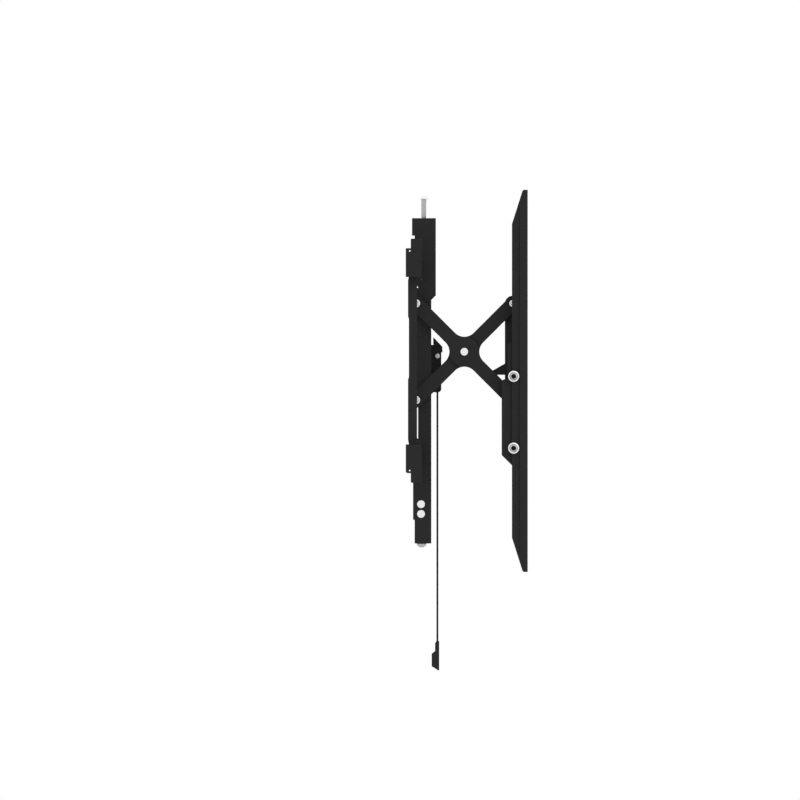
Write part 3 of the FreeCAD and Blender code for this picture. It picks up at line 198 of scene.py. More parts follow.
class Signal:
    """The output of a shader node. Sums written with signals add their own Math nodes."""

    def __init__(self, finish, socket):
        self.finish = finish
        self.socket = socket

    def maths(self, operation, *values):
        """Adds a Math node with an operation and its values."""
        return self.finish.node("ShaderNodeMath", {"operation": operation}, values)

    def sine(self):
        return self.maths("SINE", self)

    def __add__(self, other):
        return self.maths("ADD", self, other)

    def __sub__(self, other):
        return self.maths("SUBTRACT", self, other)

    def __mul__(self, other):
        return self.maths("MULTIPLY", self, other)

    def __rsub__(self, other):
        return self.maths("SUBTRACT", other, self)

    __radd__ = __add__
    __rmul__ = __mul__


class Finish:
    """Builds the nodes of one material or of the world."""

    def __init__(self, owner):
        owner.use_nodes = True
        self.owner = owner
        self.tree = owner.node_tree
        self.tree.nodes.clear()

    def node(self, kind, settings=None, inputs=(), output=0):
        """Adds a node: its settings first, then the values or links of its sockets."""
        made = self.tree.nodes.new(kind)
        for name, value in (settings or {}).items():
            if name == "stops":
                self.set_stops(made.color_ramp, value)
            else:
                setattr(made, name, value)
        pairs = inputs.items() if isinstance(inputs, dict) else enumerate(inputs)
        for key, value in pairs:
            if isinstance(value, Signal):
                self.tree.links.new(value.socket, made.inputs[key])
            elif value is not None:
                made.inputs[key].default_value = value
        return Signal(self, made.outputs[output]) if made.outputs else None

    def set_stops(self, ramp, stops):
        """Gives a colour ramp its stops, each a place and a grey level."""
        while len(ramp.elements) > 1:
            ramp.elements.remove(ramp.elements[-1])
        for index, (place, grey) in enumerate(stops):
            stop = ramp.elements[0] if index == 0 else ramp.elements.new(place)
            stop.position = place
            stop.color = (grey, grey, grey, 1)

    def place(self):
        """Position on the piece, in metres."""
        return self.node("ShaderNodeTexCoord", output="Object")

    def noise(self, where, size, detail=2.0, roughness=0.5):
        """Smooth noise with features of a size in metres."""
        return self.node("ShaderNodeTexNoise", {"noise_dimensions": "3D"},
                         {"Vector": where, "Scale": 1 / size, "Detail": detail,
                          "Roughness": roughness})

    def ramp(self, signal, *stops):
        """Turns a signal into greys, through stops of a place and a grey level."""
        return self.node("ShaderNodeValToRGB", {"stops": stops}, [signal])

    def blend(self, factor, low, high):
        """Mixes two colours."""
        return self.node("ShaderNodeMix", {"data_type": "RGBA"}, {0: factor, 6: low, 7: high},
                         output=2)

    def bump(self, height, distance, strength):
        """Makes the surface look raised, at most by a distance in metres."""
        return self.node("ShaderNodeBump", inputs={"Height": height, "Distance": distance,
                                                   "Strength": strength})

    def seen(self):
        """One where it is seen, straight or in a reflection, and zero where it gives light."""
        rays = ("Is Camera Ray", "Is Glossy Ray", "Is Transmission Ray")
        camera, glossy, through = [self.node("ShaderNodeLightPath", output=ray) for ray in rays]
        return camera.maths("MINIMUM", camera + glossy + through, 1.0)

    def close(self, shader, kind="ShaderNodeOutputMaterial"):
        """Links the shader to the output and gives back the material or world."""
        self.node(kind, inputs=[shader])
        return self.owner


def rgba(colour, gain=1.0):
    """A colour as four numbers, lighter or darker by a gain."""
    return (colour[0] * gain, colour[1] * gain, colour[2] * gain, 1)


def powder_coat():
    """Fine textured black powder coat: orange peel, faint clouding, a soft sheen, and flecks with
    a painted glint.
    """
    chosen = bpy.context.scene.mount_finish
    coat = Finish(bpy.data.materials.new("powder_coat"))
    where = coat.place()
    cloud_size = 0.035
    fleck_and_glint_size = chosen.coat_grain * 0.55
    peel_depth = 0.00009
    peel = coat.noise(where, chosen.coat_grain, 2.0, 0.55)
    cloud = coat.noise(where, cloud_size, 3.0, 0.6)
    # Flecks that raise the coat's grain in the bump and carry a painted glint in the colour.
    fleck_and_painted_glint = coat.ramp(coat.noise(where, fleck_and_glint_size, 1.0), (0.0, 0.0), (0.66, 0.0), (0.74, 1.0))
    colour = coat.blend(cloud, rgba(chosen.coat_colour, 0.86), rgba(chosen.coat_colour, 1.14))
    # Painted glint: the flecks lighten the base colour towards twice the coat's, standing in for
    # light glinting on the grain.
    colour = coat.blend(fleck_and_painted_glint * 0.3, colour, rgba(chosen.coat_colour, 2.1))
    rough = chosen.coat_roughness - 0.06 + peel * 0.08 + cloud * 0.06
    surface = coat.node("ShaderNodeBsdfPrincipled", inputs={
        "Base Color": colour, "Roughness": rough, "Specular IOR Level": 0.15,
        "Normal": coat.bump(peel + fleck_and_painted_glint * 0.2, peel_depth, 0.55)})
    return coat.close(surface)


def plating(name, colour):
    """Zinc plate: faint blue and straw clouding, fine scratches."""
    chosen = bpy.context.scene.mount_finish
    zinc = Finish(bpy.data.materials.new(name))
    where = zinc.place()
    cloud_size = 0.006
    scratch_size = 0.0012
    scratch_depth = 0.00003
    cloud = zinc.noise(where, cloud_size, 2.0, 0.6)
    drawn = zinc.node("ShaderNodeMapping", inputs={"Vector": where, "Scale": (1, 1, 9)})
    scratch = zinc.noise(drawn, scratch_size, 3.0, 0.7)
    cool = rgba((colour[0] * 0.95, colour[1] * 0.985, colour[2] * 1.02))
    warm = rgba((colour[0] * 1.04, colour[1] * 1.02, colour[2] * 0.95))
    surface = zinc.node("ShaderNodeBsdfPrincipled", inputs={
        "Base Color": zinc.blend(cloud, cool, warm), "Metallic": 1.0,
        "Roughness": chosen.zinc_roughness - 0.05 + cloud * 0.06 + scratch * 0.06,
        "Normal": zinc.bump(scratch, scratch_depth, 0.35)})
    return zinc.close(surface)


def zinc_plate():
    """Bright zinc plate on the pins, rivets and flanges."""
    return plating("zinc_plate", bpy.context.scene.mount_finish.zinc_colour)


def zinc_with_painted_shade():
    """A darker copy of the zinc plate on the nuts, the threads and some of the heads: painted
    shade for the darker reflections of the round shanks and domes.
    """
    return plating("zinc_with_painted_shade", bpy.context.scene.mount_finish.screw_colour)


def painted_socket_shade():
    """Painted shade: a near-black colour inside a screw's socket, where the socket's depth shades
    it.
    """
    chosen = bpy.context.scene.mount_finish
    socket = Finish(bpy.data.materials.new("painted_socket_shade"))
    shade_mottle_size = 0.0008
    shade_mottle_depth = 0.00003
    shade_mottle = socket.noise(socket.place(), shade_mottle_size)
    # Painted shade: the socket's colour is near black, standing in for the shade deep in the
    # socket, with a faint random mottle.
    colour = socket.blend(shade_mottle, rgba(chosen.socket_colour, 0.7), rgba(chosen.socket_colour, 1.4))
    surface = socket.node("ShaderNodeBsdfPrincipled", inputs={
        "Base Color": colour, "Roughness": 0.55 + shade_mottle * 0.2, "Specular IOR Level": 0.2,
        "Normal": socket.bump(shade_mottle, shade_mottle_depth, 0.3)})
    return socket.close(surface)


def spring_wire():
    """Drawn spring steel with lines along the wire."""
    wire = Finish(bpy.data.materials.new("spring_wire"))
    line_size = 0.0004
    line_depth = 0.00002
    lines = wire.noise(wire.place(), line_size)
    dark_steel = (0.42, 0.43, 0.45)
    bright_steel = (0.56, 0.57, 0.58)
    colour = wire.blend(lines, rgba(dark_steel), rgba(bright_steel))
    surface = wire.node("ShaderNodeBsdfPrincipled", inputs={
        "Base Color": colour, "Metallic": 1.0, "Roughness": 0.26 + lines * 0.12,
        "Normal": wire.bump(lines, line_depth, 0.4)})
    return wire.close(surface)


def moulded_plastic():
    """Black moulded plastic with a spark-eroded grain."""
    chosen = bpy.context.scene.mount_finish
    plastic = Finish(bpy.data.materials.new("moulded_plastic"))
    where = plastic.place()
    grain_size = 0.00045
    grain_depth = 0.00006
    flow_size = 0.012
    grain = plastic.noise(where, grain_size, 2.0, 0.6)
    flow = plastic.noise(where, flow_size)
    colour = plastic.blend(flow, rgba(chosen.plastic_colour, 0.88),
                           rgba(chosen.plastic_colour, 1.15))
    surface = plastic.node("ShaderNodeBsdfPrincipled", inputs={
        "Base Color": colour, "Roughness": 0.44 + grain * 0.1, "Specular IOR Level": 0.24,
        "Normal": plastic.bump(grain, grain_depth, 0.5)})
    return plastic.close(surface)


def smooth_nylon():
    """Smooth black nylon."""
    chosen = bpy.context.scene.mount_finish
    nylon = Finish(bpy.data.materials.new("smooth_nylon"))
    mottle_size = 0.002
    mottle_depth = 0.00003
    mottle = nylon.noise(nylon.place(), mottle_size)
    colour = nylon.blend(mottle, rgba(chosen.nylon_colour, 0.85), rgba(chosen.nylon_colour, 1.2))
    surface = nylon.node("ShaderNodeBsdfPrincipled", inputs={
        "Base Color": colour, "Roughness": 0.33 + mottle * 0.1, "Specular IOR Level": 0.25,
        "Normal": nylon.bump(mottle, mottle_depth, 0.3)})
    return nylon.close(surface)


def braided_cord():
    """Braid on a round cord that hangs along Z: two sets of strands that cross, raised in the
    bump, with painted shade between the strands.
    """
    chosen = bpy.context.scene.mount_cord
    cord = Finish(bpy.data.materials.new("braided_cord"))
    strand_rise = chosen.diameter * 1.6
    strand_depth = 0.00004
    fibre_size = 0.0003
    where = cord.place()
    across, out, along = [cord.node("ShaderNodeSeparateXYZ", inputs=[where], output=axis)
                          for axis in range(3)]
    turn = across.maths("ARCTAN2", out - CORD_TOP.y / 2 - CORD_END.y / 2, across)
    rise = along * (2 * math.pi / strand_rise)
    one = (turn * chosen.strands + rise).sine()
    two = (turn * chosen.strands - rise).sine()
    weave_and_painted_shade = one.maths("MAXIMUM", one, two)
    fibre = cord.noise(where, fibre_size)
    # Painted shade: the colour darkens between the strands and lightens on their crowns, following
    # the bump.
    colour = cord.blend(weave_and_painted_shade * 0.5 + 0.5, rgba(chosen.colour, 0.93), rgba(chosen.colour, 1.06))
    surface = cord.node("ShaderNodeBsdfPrincipled", inputs={
        "Base Color": colour, "Roughness": 0.72 + fibre * 0.14, "Specular IOR Level": 0.12,
        "Normal": cord.bump(weave_and_painted_shade * 0.8 + fibre * 0.3, strand_depth, 0.2)})
    return cord.close(surface)


# The finish of each of the record's slots.
FINISHES = {
    "black_powder_coat": powder_coat,
    "zinc_plated_steel": zinc_plate,
    "black_plastic": moulded_plastic,
    "washer_nylon": smooth_nylon,
    "black_cord": braided_cord,
    "spring_steel": spring_wire,
}


def made_once(make):
    """The material that a function makes, which is named after it."""
    return bpy.data.materials.get(make.__name__) or make()


def finish(slot):
    """The material of one of the record's slots."""
    return made_once(FINISHES[slot])


# ---------------------------------------------------------------- shapes

def keep_piece(name, mesh_data, body, slot, replaced=(), finishes=None):
    """Makes a piece of a mesh, with its finishes.

    It rides on its body and takes the place of the replaced nodes, where they are given.
    """
    mesh_data.normal_update()
    mesh = bpy.data.meshes.new(name)
    mesh_data.to_mesh(mesh)
    mesh_data.free()
    mesh.shade_smooth()
    mesh.set_sharp_from_angle(angle=math.radians(SHADED_SHARP))
    piece = bpy.data.objects.new(name, mesh)
    bpy.context.scene.collection.objects.link(piece)
    for make in finishes or [FINISHES[slot]]:
        mesh.materials.append(made_once(make))
    if body:
        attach(piece, body)
    if replaced:
        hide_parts(*replaced)
    return piece


def round_point(mesh_data, radius, angle, height):
    """A point at a radius and an angle round Z."""
    return mesh_data.verts.new((radius * math.cos(angle), radius * math.sin(angle), height))


def ring(mesh_data, radius, height, corners=0):
    """A ring of points round Z, or a polygon of so many corners with the radius to its flats."""
    points = []
    for n in range(SCREW_POINTS):
        angle = 2 * math.pi * n / SCREW_POINTS
        reach = radius
        if corners:
            half = math.pi / corners
            reach = radius / math.cos((angle + half) % (2 * half) - half)
        points.append(round_point(mesh_data, reach, angle, height))
    return points


def skin(mesh_data, rings, finish_number=0):
    """Faces between rings of points that follow each other, with the finish of a number."""
    for low, high in zip(rings, rings[1:]):
        for n in range(len(low)):
            after = (n + 1) % len(low)
            face = mesh_data.faces.new((low[n], low[after], high[after], high[n]))
            face.material_index = finish_number


def threaded(crest, depth, pitch, low, high, bands):
    """A screw round Z: a thread from low to high that runs out at both ends, then the head.

    The head is bands of rings. Each band has the number of its finish and its rings, which are
    (radius, height) or (radius, height, corners).
    """
    profile = (0.0, 0.15, 0.9, 1.0, 0.9, 0.15)
    per_turn = len(profile)
    point_length = pitch * 0.6
    point_share = 0.72
    mesh_data = bmesh.new()
    rows = []
    steps = round((high - low) / pitch * per_turn)
    for k in range(steps + 1):
        height = low + (high - low) * k / steps
        runout = min(1.0, (height - low) / pitch, (high - height) / pitch)
        row = []
        for n in range(SCREW_POINTS):
            phase = (k / per_turn - n / SCREW_POINTS) % 1 * per_turn
            first = int(phase) % per_turn
            share = phase - int(phase)
            level = profile[first] * (1 - share) + profile[(first + 1) % per_turn] * share
            radius = crest - depth * (1 - level * runout)
            row.append(round_point(mesh_data, radius, 2 * math.pi * n / SCREW_POINTS, height))
        rows.append(row)
    point = [mesh_data.verts.new((v.co.x * point_share, v.co.y * point_share, low - point_length))
             for v in rows[0]]
    skin(mesh_data, [point] + rows)
    under = rows[-1]
    for number, rings in bands:
        over = [ring(mesh_data, *sizes) for sizes in rings]
        skin(mesh_data, [under] + over, number)
        under = over[-1]
    mesh_data.faces.new(list(reversed(point)))
    mesh_data.faces.new(under).material_index = bands[-1][0]
    return mesh_data


def hex_socket(flat, top, depth):
    """Rings of a hexagon socket: a small lead-in, the six walls and a drilled point."""
    drilled = 0.0006
    return [(flat + 0.0002, top - 0.0001, 6), (flat, top - 0.0004, 6), (flat, top - depth, 6),
            (flat * 0.35, top - depth - drilled)]


def coil(radius, wire, low, high, turns):
    """A compression spring round Z, wound close for one turn at both ends. wire is its radius."""
    close = 2.1 * wire
    pitch = (high - low - 2 * wire - 2 * close) / (turns - 2)
    last_turn = (turns - 1) * COIL_STEPS
    mesh_data = bmesh.new()
    rows = []
    height = low + wire
    for k in range(turns * COIL_STEPS + 1):
        angle = 2 * math.pi * k / COIL_STEPS
        row = []
        for n in range(WIRE_POINTS):
            around = 2 * math.pi * n / WIRE_POINTS
            row.append(round_point(mesh_data, radius + wire * math.cos(around), angle,
                                   height + wire * math.sin(around)))
        rows.append(row)
        height += (close if k < COIL_STEPS or k >= last_turn else pitch) / COIL_STEPS
    skin(mesh_data, rows)
    mesh_data.faces.new(rows[0])
    mesh_data.faces.new(rows[-1])
    bmesh.ops.recalc_face_normals(mesh_data, faces=mesh_data.faces)
    return mesh_data


def moved(mesh_data, place, turn=None):
    """Turns a mesh about the origin, then moves it."""
    mesh_data.transform(Matrix.Translation(place) @ (turn or Matrix.Identity(4)))
    return mesh_data


def joined(parts):
    """Several meshes as one."""
    whole = bmesh.new()
    for part in parts:
        mesh = bpy.data.meshes.new("part")
        part.to_mesh(mesh)
        part.free()
        whole.from_mesh(mesh)
        bpy.data.meshes.remove(mesh)
    return whole


def weld_bead(start, end, radius, away):
    """A weld bead along a line: overlapping scales, half sunk in the joint.

    away points out of the joint.
    """
    scale_length = 0.0016
    per_scale = 4
    swell_share = 0.16
    lean_length = 0.0004
    runout_steps = 3
    blunt_end = 0.4
    start, end, away = Vector(start), Vector(end), Vector(away).normalized()
    length = (end - start).length
    along = (end - start).normalized()
    side = along.cross(away)
    total = round(length / scale_length) * per_scale
    mesh_data = bmesh.new()
    rows = []
    for k in range(total + 1):
        swell = 1 - swell_share * (k % per_scale / per_scale)
        runout = min(1.0, (k + blunt_end) / runout_steps, (total - k + blunt_end) / runout_steps)
        row = []
        for n in range(BEAD_POINTS):
            angle = 2 * math.pi * n / BEAD_POINTS
            lean = lean_length * math.sin(angle)
            centre = start + along * (length * k / total + lean)
            offset = side * math.cos(angle) + away * math.sin(angle)
            row.append(mesh_data.verts.new(centre + offset * (radius * swell * runout)))
        rows.append(row)
    skin(mesh_data, rows)
    mesh_data.faces.new(list(reversed(rows[0])))
    mesh_data.faces.new(rows[-1])
    return mesh_data


# ---------------------------------------------------------------- operators

class MOUNT_OT_stage(bpy.types.Operator):
    """Makes the pale floor, the soft lights, the room and the camera"""

    bl_idname = "mount.stage"
    bl_label = "Stage"

    def execute(self, context):
        chosen = context.scene.mount_stage
        self.make_camera(context, chosen)
        self.make_floor(context, chosen)
        self.make_room(context, chosen)
        self.make_light(context, "key_light", (-1.9, -0.9, 1.5), chosen.key_power)
        self.make_light(context, "front_light", (-0.3, -2.4, 0.8), chosen.fill_power)
        self.make_light(context, "far_light", (2.0, 0.8, 1.1), chosen.fill_power)
        return {"FINISHED"}

    def make_camera(self, context, chosen):
        """Side view along +X, square to the wall, without perspective."""
        lens = bpy.data.cameras.new("side_camera")
        lens.type = "ORTHO"
        lens.ortho_scale = chosen.frame_height
        lens.clip_end = VIEW_DEPTH
        camera = bpy.data.objects.new("side_camera", lens)
        camera.location = CAMERA_PLACE
        camera.rotation_euler = (math.radians(90), 0, math.radians(-90))
        context.scene.collection.objects.link(camera)
        context.scene.camera = camera
        context.scene.view_settings.view_transform = "Standard"

    def make_floor(self, context, chosen):
        """Floor that keeps soft shadows and shows white."""
        speckle_size = 0.4
        shown_white = 0.7
        mesh_data = bmesh.new()
        bmesh.ops.create_grid(mesh_data, x_segments=8, y_segments=8, size=chosen.floor_size / 2)
        mesh = bpy.data.meshes.new("studio_floor")
        mesh_data.to_mesh(mesh)
        mesh_data.free()
        floor = bpy.data.objects.new("studio_floor", mesh)
        floor.location.z = chosen.floor_height
        context.scene.collection.objects.link(floor)
        paint = Finish(bpy.data.materials.new("studio_floor"))
        tone = paint.blend(paint.noise(paint.place(), speckle_size), rgba(WHITE, 0.80),
                           rgba(WHITE, 0.82))
        matt = paint.node("ShaderNodeBsdfDiffuse", inputs={"Color": tone})
        white = paint.node("ShaderNodeEmission", inputs={"Color": WHITE, "Strength": 1.0})
        both = paint.node("ShaderNodeMixShader", inputs=[paint.seen() * shown_white, matt, white])
        mesh.materials.append(paint.close(both))

    def make_room(self, context, chosen):
        """White to the camera and in reflections, softer as light."""
        room = Finish(context.scene.world or bpy.data.worlds.new("room"))
        context.scene.world = room.owner
        even = chosen.sky_strength
        strength = room.seen() * (1 - even) + even
        light = room.node("ShaderNodeBackground", inputs={"Color": WHITE, "Strength": strength})
        room.close(light, "ShaderNodeOutputWorld")

    def make_light(self, context, name, way, power):
        """A large soft lamp, some way off the place that it lights."""
        lamp = bpy.data.lights.new(name, "AREA")
        lamp.shape = "SQUARE"
        lamp.size = LAMP_WIDTH
        lamp.energy = power
        light = bpy.data.objects.new(name, lamp)
        light.location = LIT_PLACE + Vector(way)
        light.rotation_euler = (-Vector(way)).to_track_quat("-Z", "Y").to_euler()
        context.scene.collection.objects.link(light)


class MOUNT_OT_cord(bpy.types.Operator):
    """Hangs the pull cord from the latch slider down to its tag"""

    bl_idname = "mount.cord"
    bl_label = "Pull cord"

    def execute(self, context):
        chosen = context.scene.mount_cord
        middle = (CORD_TOP.y + CORD_END.y) / 2
        top, low = CORD_TOP.z, CORD_END.z
        length = top - low
        end_part = 0.012
        heights = (top, top - end_part, top - length / 2, low + end_part, low)
        curve = bpy.data.curves.new("braided_pull_cord", "CURVE")
        curve.dimensions = "3D"
        line = curve.splines.new("NURBS")
        line.points.add(len(heights) - 1)
        for point, height in zip(line.points, heights):
            point.co = (0, middle, height, 1)
        line.order_u = 3
        line.use_endpoint_u = True
        line.resolution_u = 12
        curve.bevel_depth = chosen.diameter / 2
        curve.bevel_resolution = 5
        curve.use_fill_caps = True
        cord = bpy.data.objects.new("braided_pull_cord", curve)
        context.scene.collection.objects.link(cord)
        curve.materials.append(finish("black_cord"))
        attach(cord, "latch")
        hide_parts("pull_cord")
        return {"FINISHED"}


class MOUNT_OT_carried_nodes(bpy.types.Operator):
    """Gives every carried-over piece its finish and rounds its edges"""

    bl_idname = "mount.carried_nodes"
    bl_label = "Steel, plating and plastic"

    def execute(self, context):
        chosen = context.scene.mount_finish
        heads = ("strut_rivets", "block_rivets", "tie_rivets", "latch_rivets", "hub_pins",
                 "front_upper_pins", "front_lower_pins", "upper_shaft", "lower_shaft", "latch_pin")
        for name, piece in frame["nodes"].items():
            # Nuts take the darker copy of the zinc plate, which is painted shade.
            nut_with_painted_shade = name.endswith("nuts")
            self.give_finish(piece, made_once(zinc_with_painted_shade) if nut_with_painted_shade else finish(NODE_SLOTS[name]))
            if name in heads:
                self.round_edges(piece, chosen.head_round, 4)
            elif name not in ("latch_spring", "pull_cord"):
                self.round_edges(piece, chosen.edge_round, 2)
        return {"FINISHED"}

    def give_finish(self, piece, material):
        """Gives all of a piece one material."""
        if not piece.material_slots:
            piece.data.materials.append(material)
        for place in piece.material_slots:
            place.material = material

    def round_edges(self, piece, width, steps):
        """Rounds sharp edges with modifiers and leaves the mesh as it is."""
        same_place = 0.000002
        weld = piece.modifiers.new("Joined faces", "WELD")
        weld.merge_threshold = same_place
        flat = piece.modifiers.new("Whole flat faces", "DECIMATE")
        flat.decimate_type = "DISSOLVE"
        flat.angle_limit = math.radians(FLAT_WITHIN)
        bevel = piece.modifiers.new("Rounded edges", "BEVEL")
        bevel.width = width
        bevel.segments = steps
        bevel.limit_method = "ANGLE"
        bevel.angle_limit = math.radians(ROUNDED_SHARP)
        bevel.use_clamp_overlap = True
        bevel.loop_slide = False
        bevel.harden_normals = True


class MOUNT_OT_height_screws(bpy.types.Operator):
    """Makes the two long screws that lift the columns, with threads and sockets"""

    bl_idname = "mount.height_screws"
    bl_label = "Height screws"

    def execute(self, context):
        chosen = context.scene.mount_screws
        crest = 0.0029
        head_height = 0.0038
        plain_length = 0.0205
        socket_flat = 0.0020
        for side_name, _ in SIDES:
            node = f"height_screw_{side_name}"
            low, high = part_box(node)
            middle = (low + high) / 2
            wide = (high.x - low.x) / 2
            top = high.z
            rim = top - head_height
            neck = rim - 0.0002
            shank = [(crest, neck - plain_length), (crest, neck)]
            head = [(crest + 0.0004, rim), (wide - 0.0003, rim), (wide, rim + 0.0003),
                    (wide - 0.0004, rim + 0.0012), (wide - 0.0016, rim + 0.0025),
                    (wide - 0.0028, top - 0.0003), (0.0030, top), (0.0025, top - 0.0001)]
            socket = hex_socket(socket_flat, top, chosen.socket_depth)
            screw = threaded(crest, chosen.thread_depth, chosen.height_pitch,
                             low.z + 0.0007, neck - plain_length - 0.0005,
                             [(0, shank), (1, head), (2, socket)])
            # Shank and thread take the darker zinc, painted shade; the head the bright zinc; the
            # socket its painted shade.
            keep_piece(f"{node}_threaded", moved(screw, (middle.x, middle.y, 0)), node,
                       SCREW_SLOT, [node], [zinc_with_painted_shade, zinc_plate, painted_socket_shade])
        return {"FINISHED"}


class MOUNT_OT_lock_screws(bpy.types.Operator):
    """Makes the two screws under the columns that pull up the lock jaws"""

    bl_idname = "mount.lock_screws"
    bl_label = "Lock screws"

    def execute(self, context):
        chosen = context.scene.mount_screws
        crest = 0.0025
        head_height = 0.0046
        socket_flat = 0.0017
        upside_down = Matrix.Rotation(math.pi, 4, "X")
        for side_name, _ in SIDES:
            node = f"lock_screw_{side_name}"
            low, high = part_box(node)
            middle = (low + high) / 2
            wide = (high.x - low.x) / 2
            reach = high.z - low.z
            seat = reach - head_height
            neck = crest - 0.0001
            head = [(neck, seat - 0.0012), (neck, seat), (wide - 0.0004, seat),
                    (wide, seat + 0.0004), (wide, seat + 0.0007),
                    (wide - 0.0005, seat + 0.0018), (wide - 0.0014, seat + 0.0029),
                    (wide - 0.0025, seat + 0.0038), (wide - 0.0034, reach - 0.0002),
                    (0.0021, reach)]
            socket = hex_socket(socket_flat, reach, chosen.socket_depth)
            screw = threaded(crest, chosen.thread_depth, chosen.lock_pitch, 0.0006, seat - 0.0014,
                             [(0, head), (1, socket)])
            place = (middle.x, middle.y, high.z)
            # Head and thread take the darker zinc, painted shade; the socket its painted shade.
            keep_piece(f"{node}_threaded", moved(screw, place, upside_down), node,
                       SCREW_SLOT, [node], [zinc_with_painted_shade, painted_socket_shade])
        return {"FINISHED"}


class MOUNT_OT_tilt_screws(bpy.types.Operator):
    """Makes the flanged button-head screws that hold the television rails"""

    bl_idname = "mount.tilt_screws"
    bl_label = "Tilt screws"

    def execute(self, context):
        for node in ("tilt_pivot_screws", "tilt_lock_screws"):
            low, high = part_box(node)
            middle = (low + high) / 2
            flange = (high.z - low.z) / 2
            screws = []
            for _, side in SIDES:
                turn = Matrix.Rotation(side * math.pi / 2, 4, "Y")
                screw = self.screw(flange, high.x, context)
                screws.append(moved(screw, (0, middle.y, middle.z), turn))
            # Thread and button take the darker zinc, painted shade; the collar the bright zinc;
            # the socket its painted shade.
            keep_piece(f"{node}_flanged", joined(screws), "front_frame", SCREW_SLOT, [node],
                       [zinc_with_painted_shade, zinc_plate, painted_socket_shade])
        return {"FINISHED"}

    def screw(self, flange, top, context):
        """One screw along Z. Its collar lies on the rail, and the head's top is at a height."""
        chosen = context.scene.mount_screws
        crest = 0.0033
        pitch = 0.001
        socket_flat = 0.0021
        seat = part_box("tv_rail_right")[1].x + 0.0001
        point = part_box("tilt_nuts")[1].x - 0.0055
        shank = [(crest, seat - 0.0028)]
        collar = [(crest, seat), (flange - 0.0003, seat), (flange, seat + 0.0003),
                  (flange, seat + 0.0008), (flange - 0.0003, seat + 0.0010),
                  (0.0052, seat + 0.0014), (0.0049, seat + 0.0015)]
        button = [(0.0048, seat + 0.0019), (0.00465, seat + 0.0024), (0.0043, seat + 0.0029),
                  (0.0038, seat + 0.0034), (0.0032, seat + 0.0038), (0.0028, top)]
        socket = hex_socket(socket_flat, top, chosen.socket_depth)
        return threaded(crest, chosen.thread_depth, pitch, point, seat - 0.003,
                        [(0, shank), (1, collar), (0, button), (2, socket)])


class MOUNT_OT_return_spring(bpy.types.Operator):
    """Winds the latch's return spring"""

    bl_idname = "mount.return_spring"
    bl_label = "Return spring"

    def execute(self, context):
        wire = context.scene.mount_screws.spring_wire / 2
        turns = 4
        low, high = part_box("latch_spring")
        middle = (low + high) / 2
        radius = (high.x - low.x) / 2 - wire
        wound = moved(coil(radius, wire, low.z, high.z, turns), (middle.x, middle.y, 0))
        spring = keep_piece("return_spring", wound, None, "spring_steel", ["latch_spring"])
        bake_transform(spring)
        return {"FINISHED"}


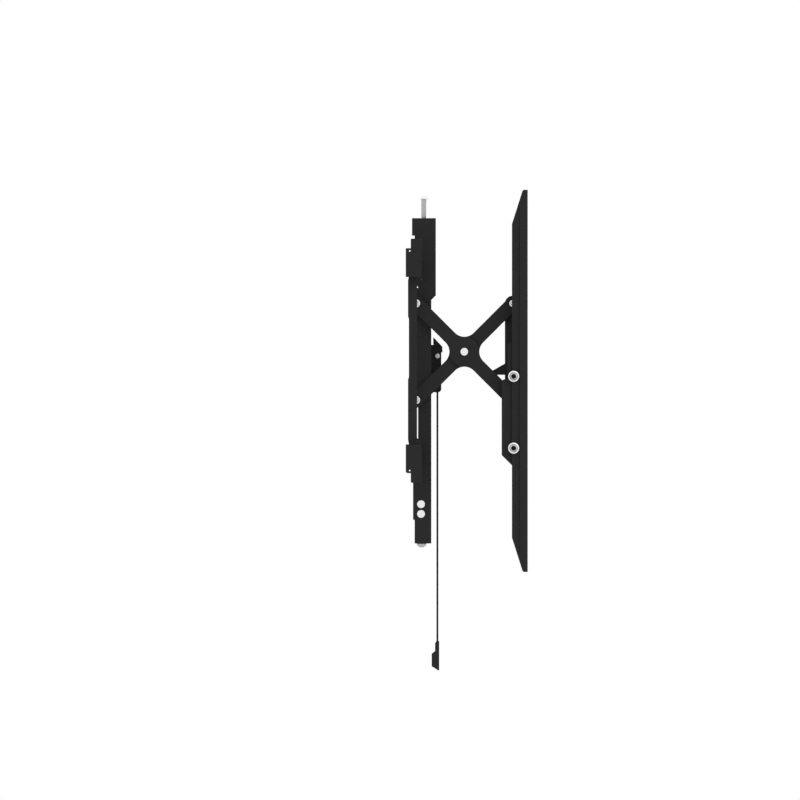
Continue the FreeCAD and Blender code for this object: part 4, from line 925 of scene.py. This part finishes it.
class MOUNT_OT_weld_beads(bpy.types.Operator):
    """Lays the welds that join the brackets, the ties and the cross members"""

    bl_idname = "mount.weld_beads"
    bl_label = "Welds"

    def execute(self, context):
        self.frame_welds()
        self.carriage_welds()
        return {"FINISHED"}

    def frame_welds(self):
        """Bracket flanges onto the posts' sides, and the ties' ends onto the posts."""
        bracket_bead = 0.0016
        bracket_spans = ((-0.054, -0.034), (-0.006, 0.012))
        corner = 0.0025
        tie_bead = 0.0014
        margin = 0.004
        beads = []
        for side_name, side in SIDES:
            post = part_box(f"front_post_{side_name}")
            face = post[1].x if side > 0 else post[0].x
            back = post[0].y + corner
            for low, high in bracket_spans:
                beads.append(weld_bead((face, back, low), (face, back, high), bracket_bead,
                                       (side, 1, 0)))
            for tie in ("upper_front_tie", "middle_front_tie", "lower_front_tie"):
                bottom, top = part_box(tie)
                end = bottom.x if side < 0 else top.x
                beads.append(weld_bead((end, top.y, bottom.z + margin),
                                       (end, top.y, top.z - margin), tie_bead, (side, -1, 0)))
        keep_piece("front_frame_welds", joined(beads), "front_frame", "black_powder_coat")

    def carriage_welds(self):
        """Cross members onto the columns' inner walls."""
        bead = 0.0013
        near, far = 0.003, 0.011
        sunk = 0.0002
        beads = []
        for member in ("upper_cross_member", "latch_cross_member"):
            low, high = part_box(member)
            for _, side in SIDES:
                edge = (high.x if side > 0 else low.x) - side * sunk
                for start, end in ((low.z + near, low.z + far), (high.z - far, high.z - near)):
                    beads.append(weld_bead((edge, high.y, start), (edge, high.y, end), bead,
                                           (-side, 1, 0)))
        keep_piece("carriage_welds", joined(beads), "carriage", "black_powder_coat")


class MOUNT_PT_panel(bpy.types.Panel):
    """Settings and steps of the wall mount."""

    bl_idname = "MOUNT_PT_panel"
    bl_label = "Wall mount"
    bl_space_type = "VIEW_3D"
    bl_region_type = "UI"
    bl_category = "Wall mount"

    def draw(self, context):
        for operator in OPERATORS:
            self.layout.operator(operator.bl_idname)
        for group, kind in SETTINGS.items():
            box = self.layout.box()
            for name in kind.__annotations__:
                box.prop(getattr(context.scene, group), name)


OPERATORS = (MOUNT_OT_stage, MOUNT_OT_cord, MOUNT_OT_carried_nodes, MOUNT_OT_height_screws,
             MOUNT_OT_lock_screws, MOUNT_OT_tilt_screws, MOUNT_OT_return_spring,
             MOUNT_OT_weld_beads)
SETTINGS = {"mount_finish": MountFinishSettings, "mount_screws": MountScrewSettings,
            "mount_cord": MountCordSettings, "mount_stage": MountStageSettings}


def register():
    for group in SETTINGS.values():
        bpy.utils.register_class(group)
    for operator in OPERATORS:
        bpy.utils.register_class(operator)
    bpy.utils.register_class(MOUNT_PT_panel)
    for name, group in SETTINGS.items():
        setattr(bpy.types.Scene, name, bpy.props.PointerProperty(type=group))


def unregister():
    for name in SETTINGS:
        delattr(bpy.types.Scene, name)
    bpy.utils.unregister_class(MOUNT_PT_panel)
    for item in reversed(OPERATORS + tuple(SETTINGS.values())):
        bpy.utils.unregister_class(item)


def main():
    register()
    bpy.ops.mount.stage()
    bpy.ops.mount.cord()
    bpy.ops.mount.carried_nodes()
    bpy.ops.mount.height_screws()
    bpy.ops.mount.lock_screws()
    bpy.ops.mount.tilt_screws()
    bpy.ops.mount.return_spring()
    bpy.ops.mount.weld_beads()


if __name__ == "__main__":
    main()
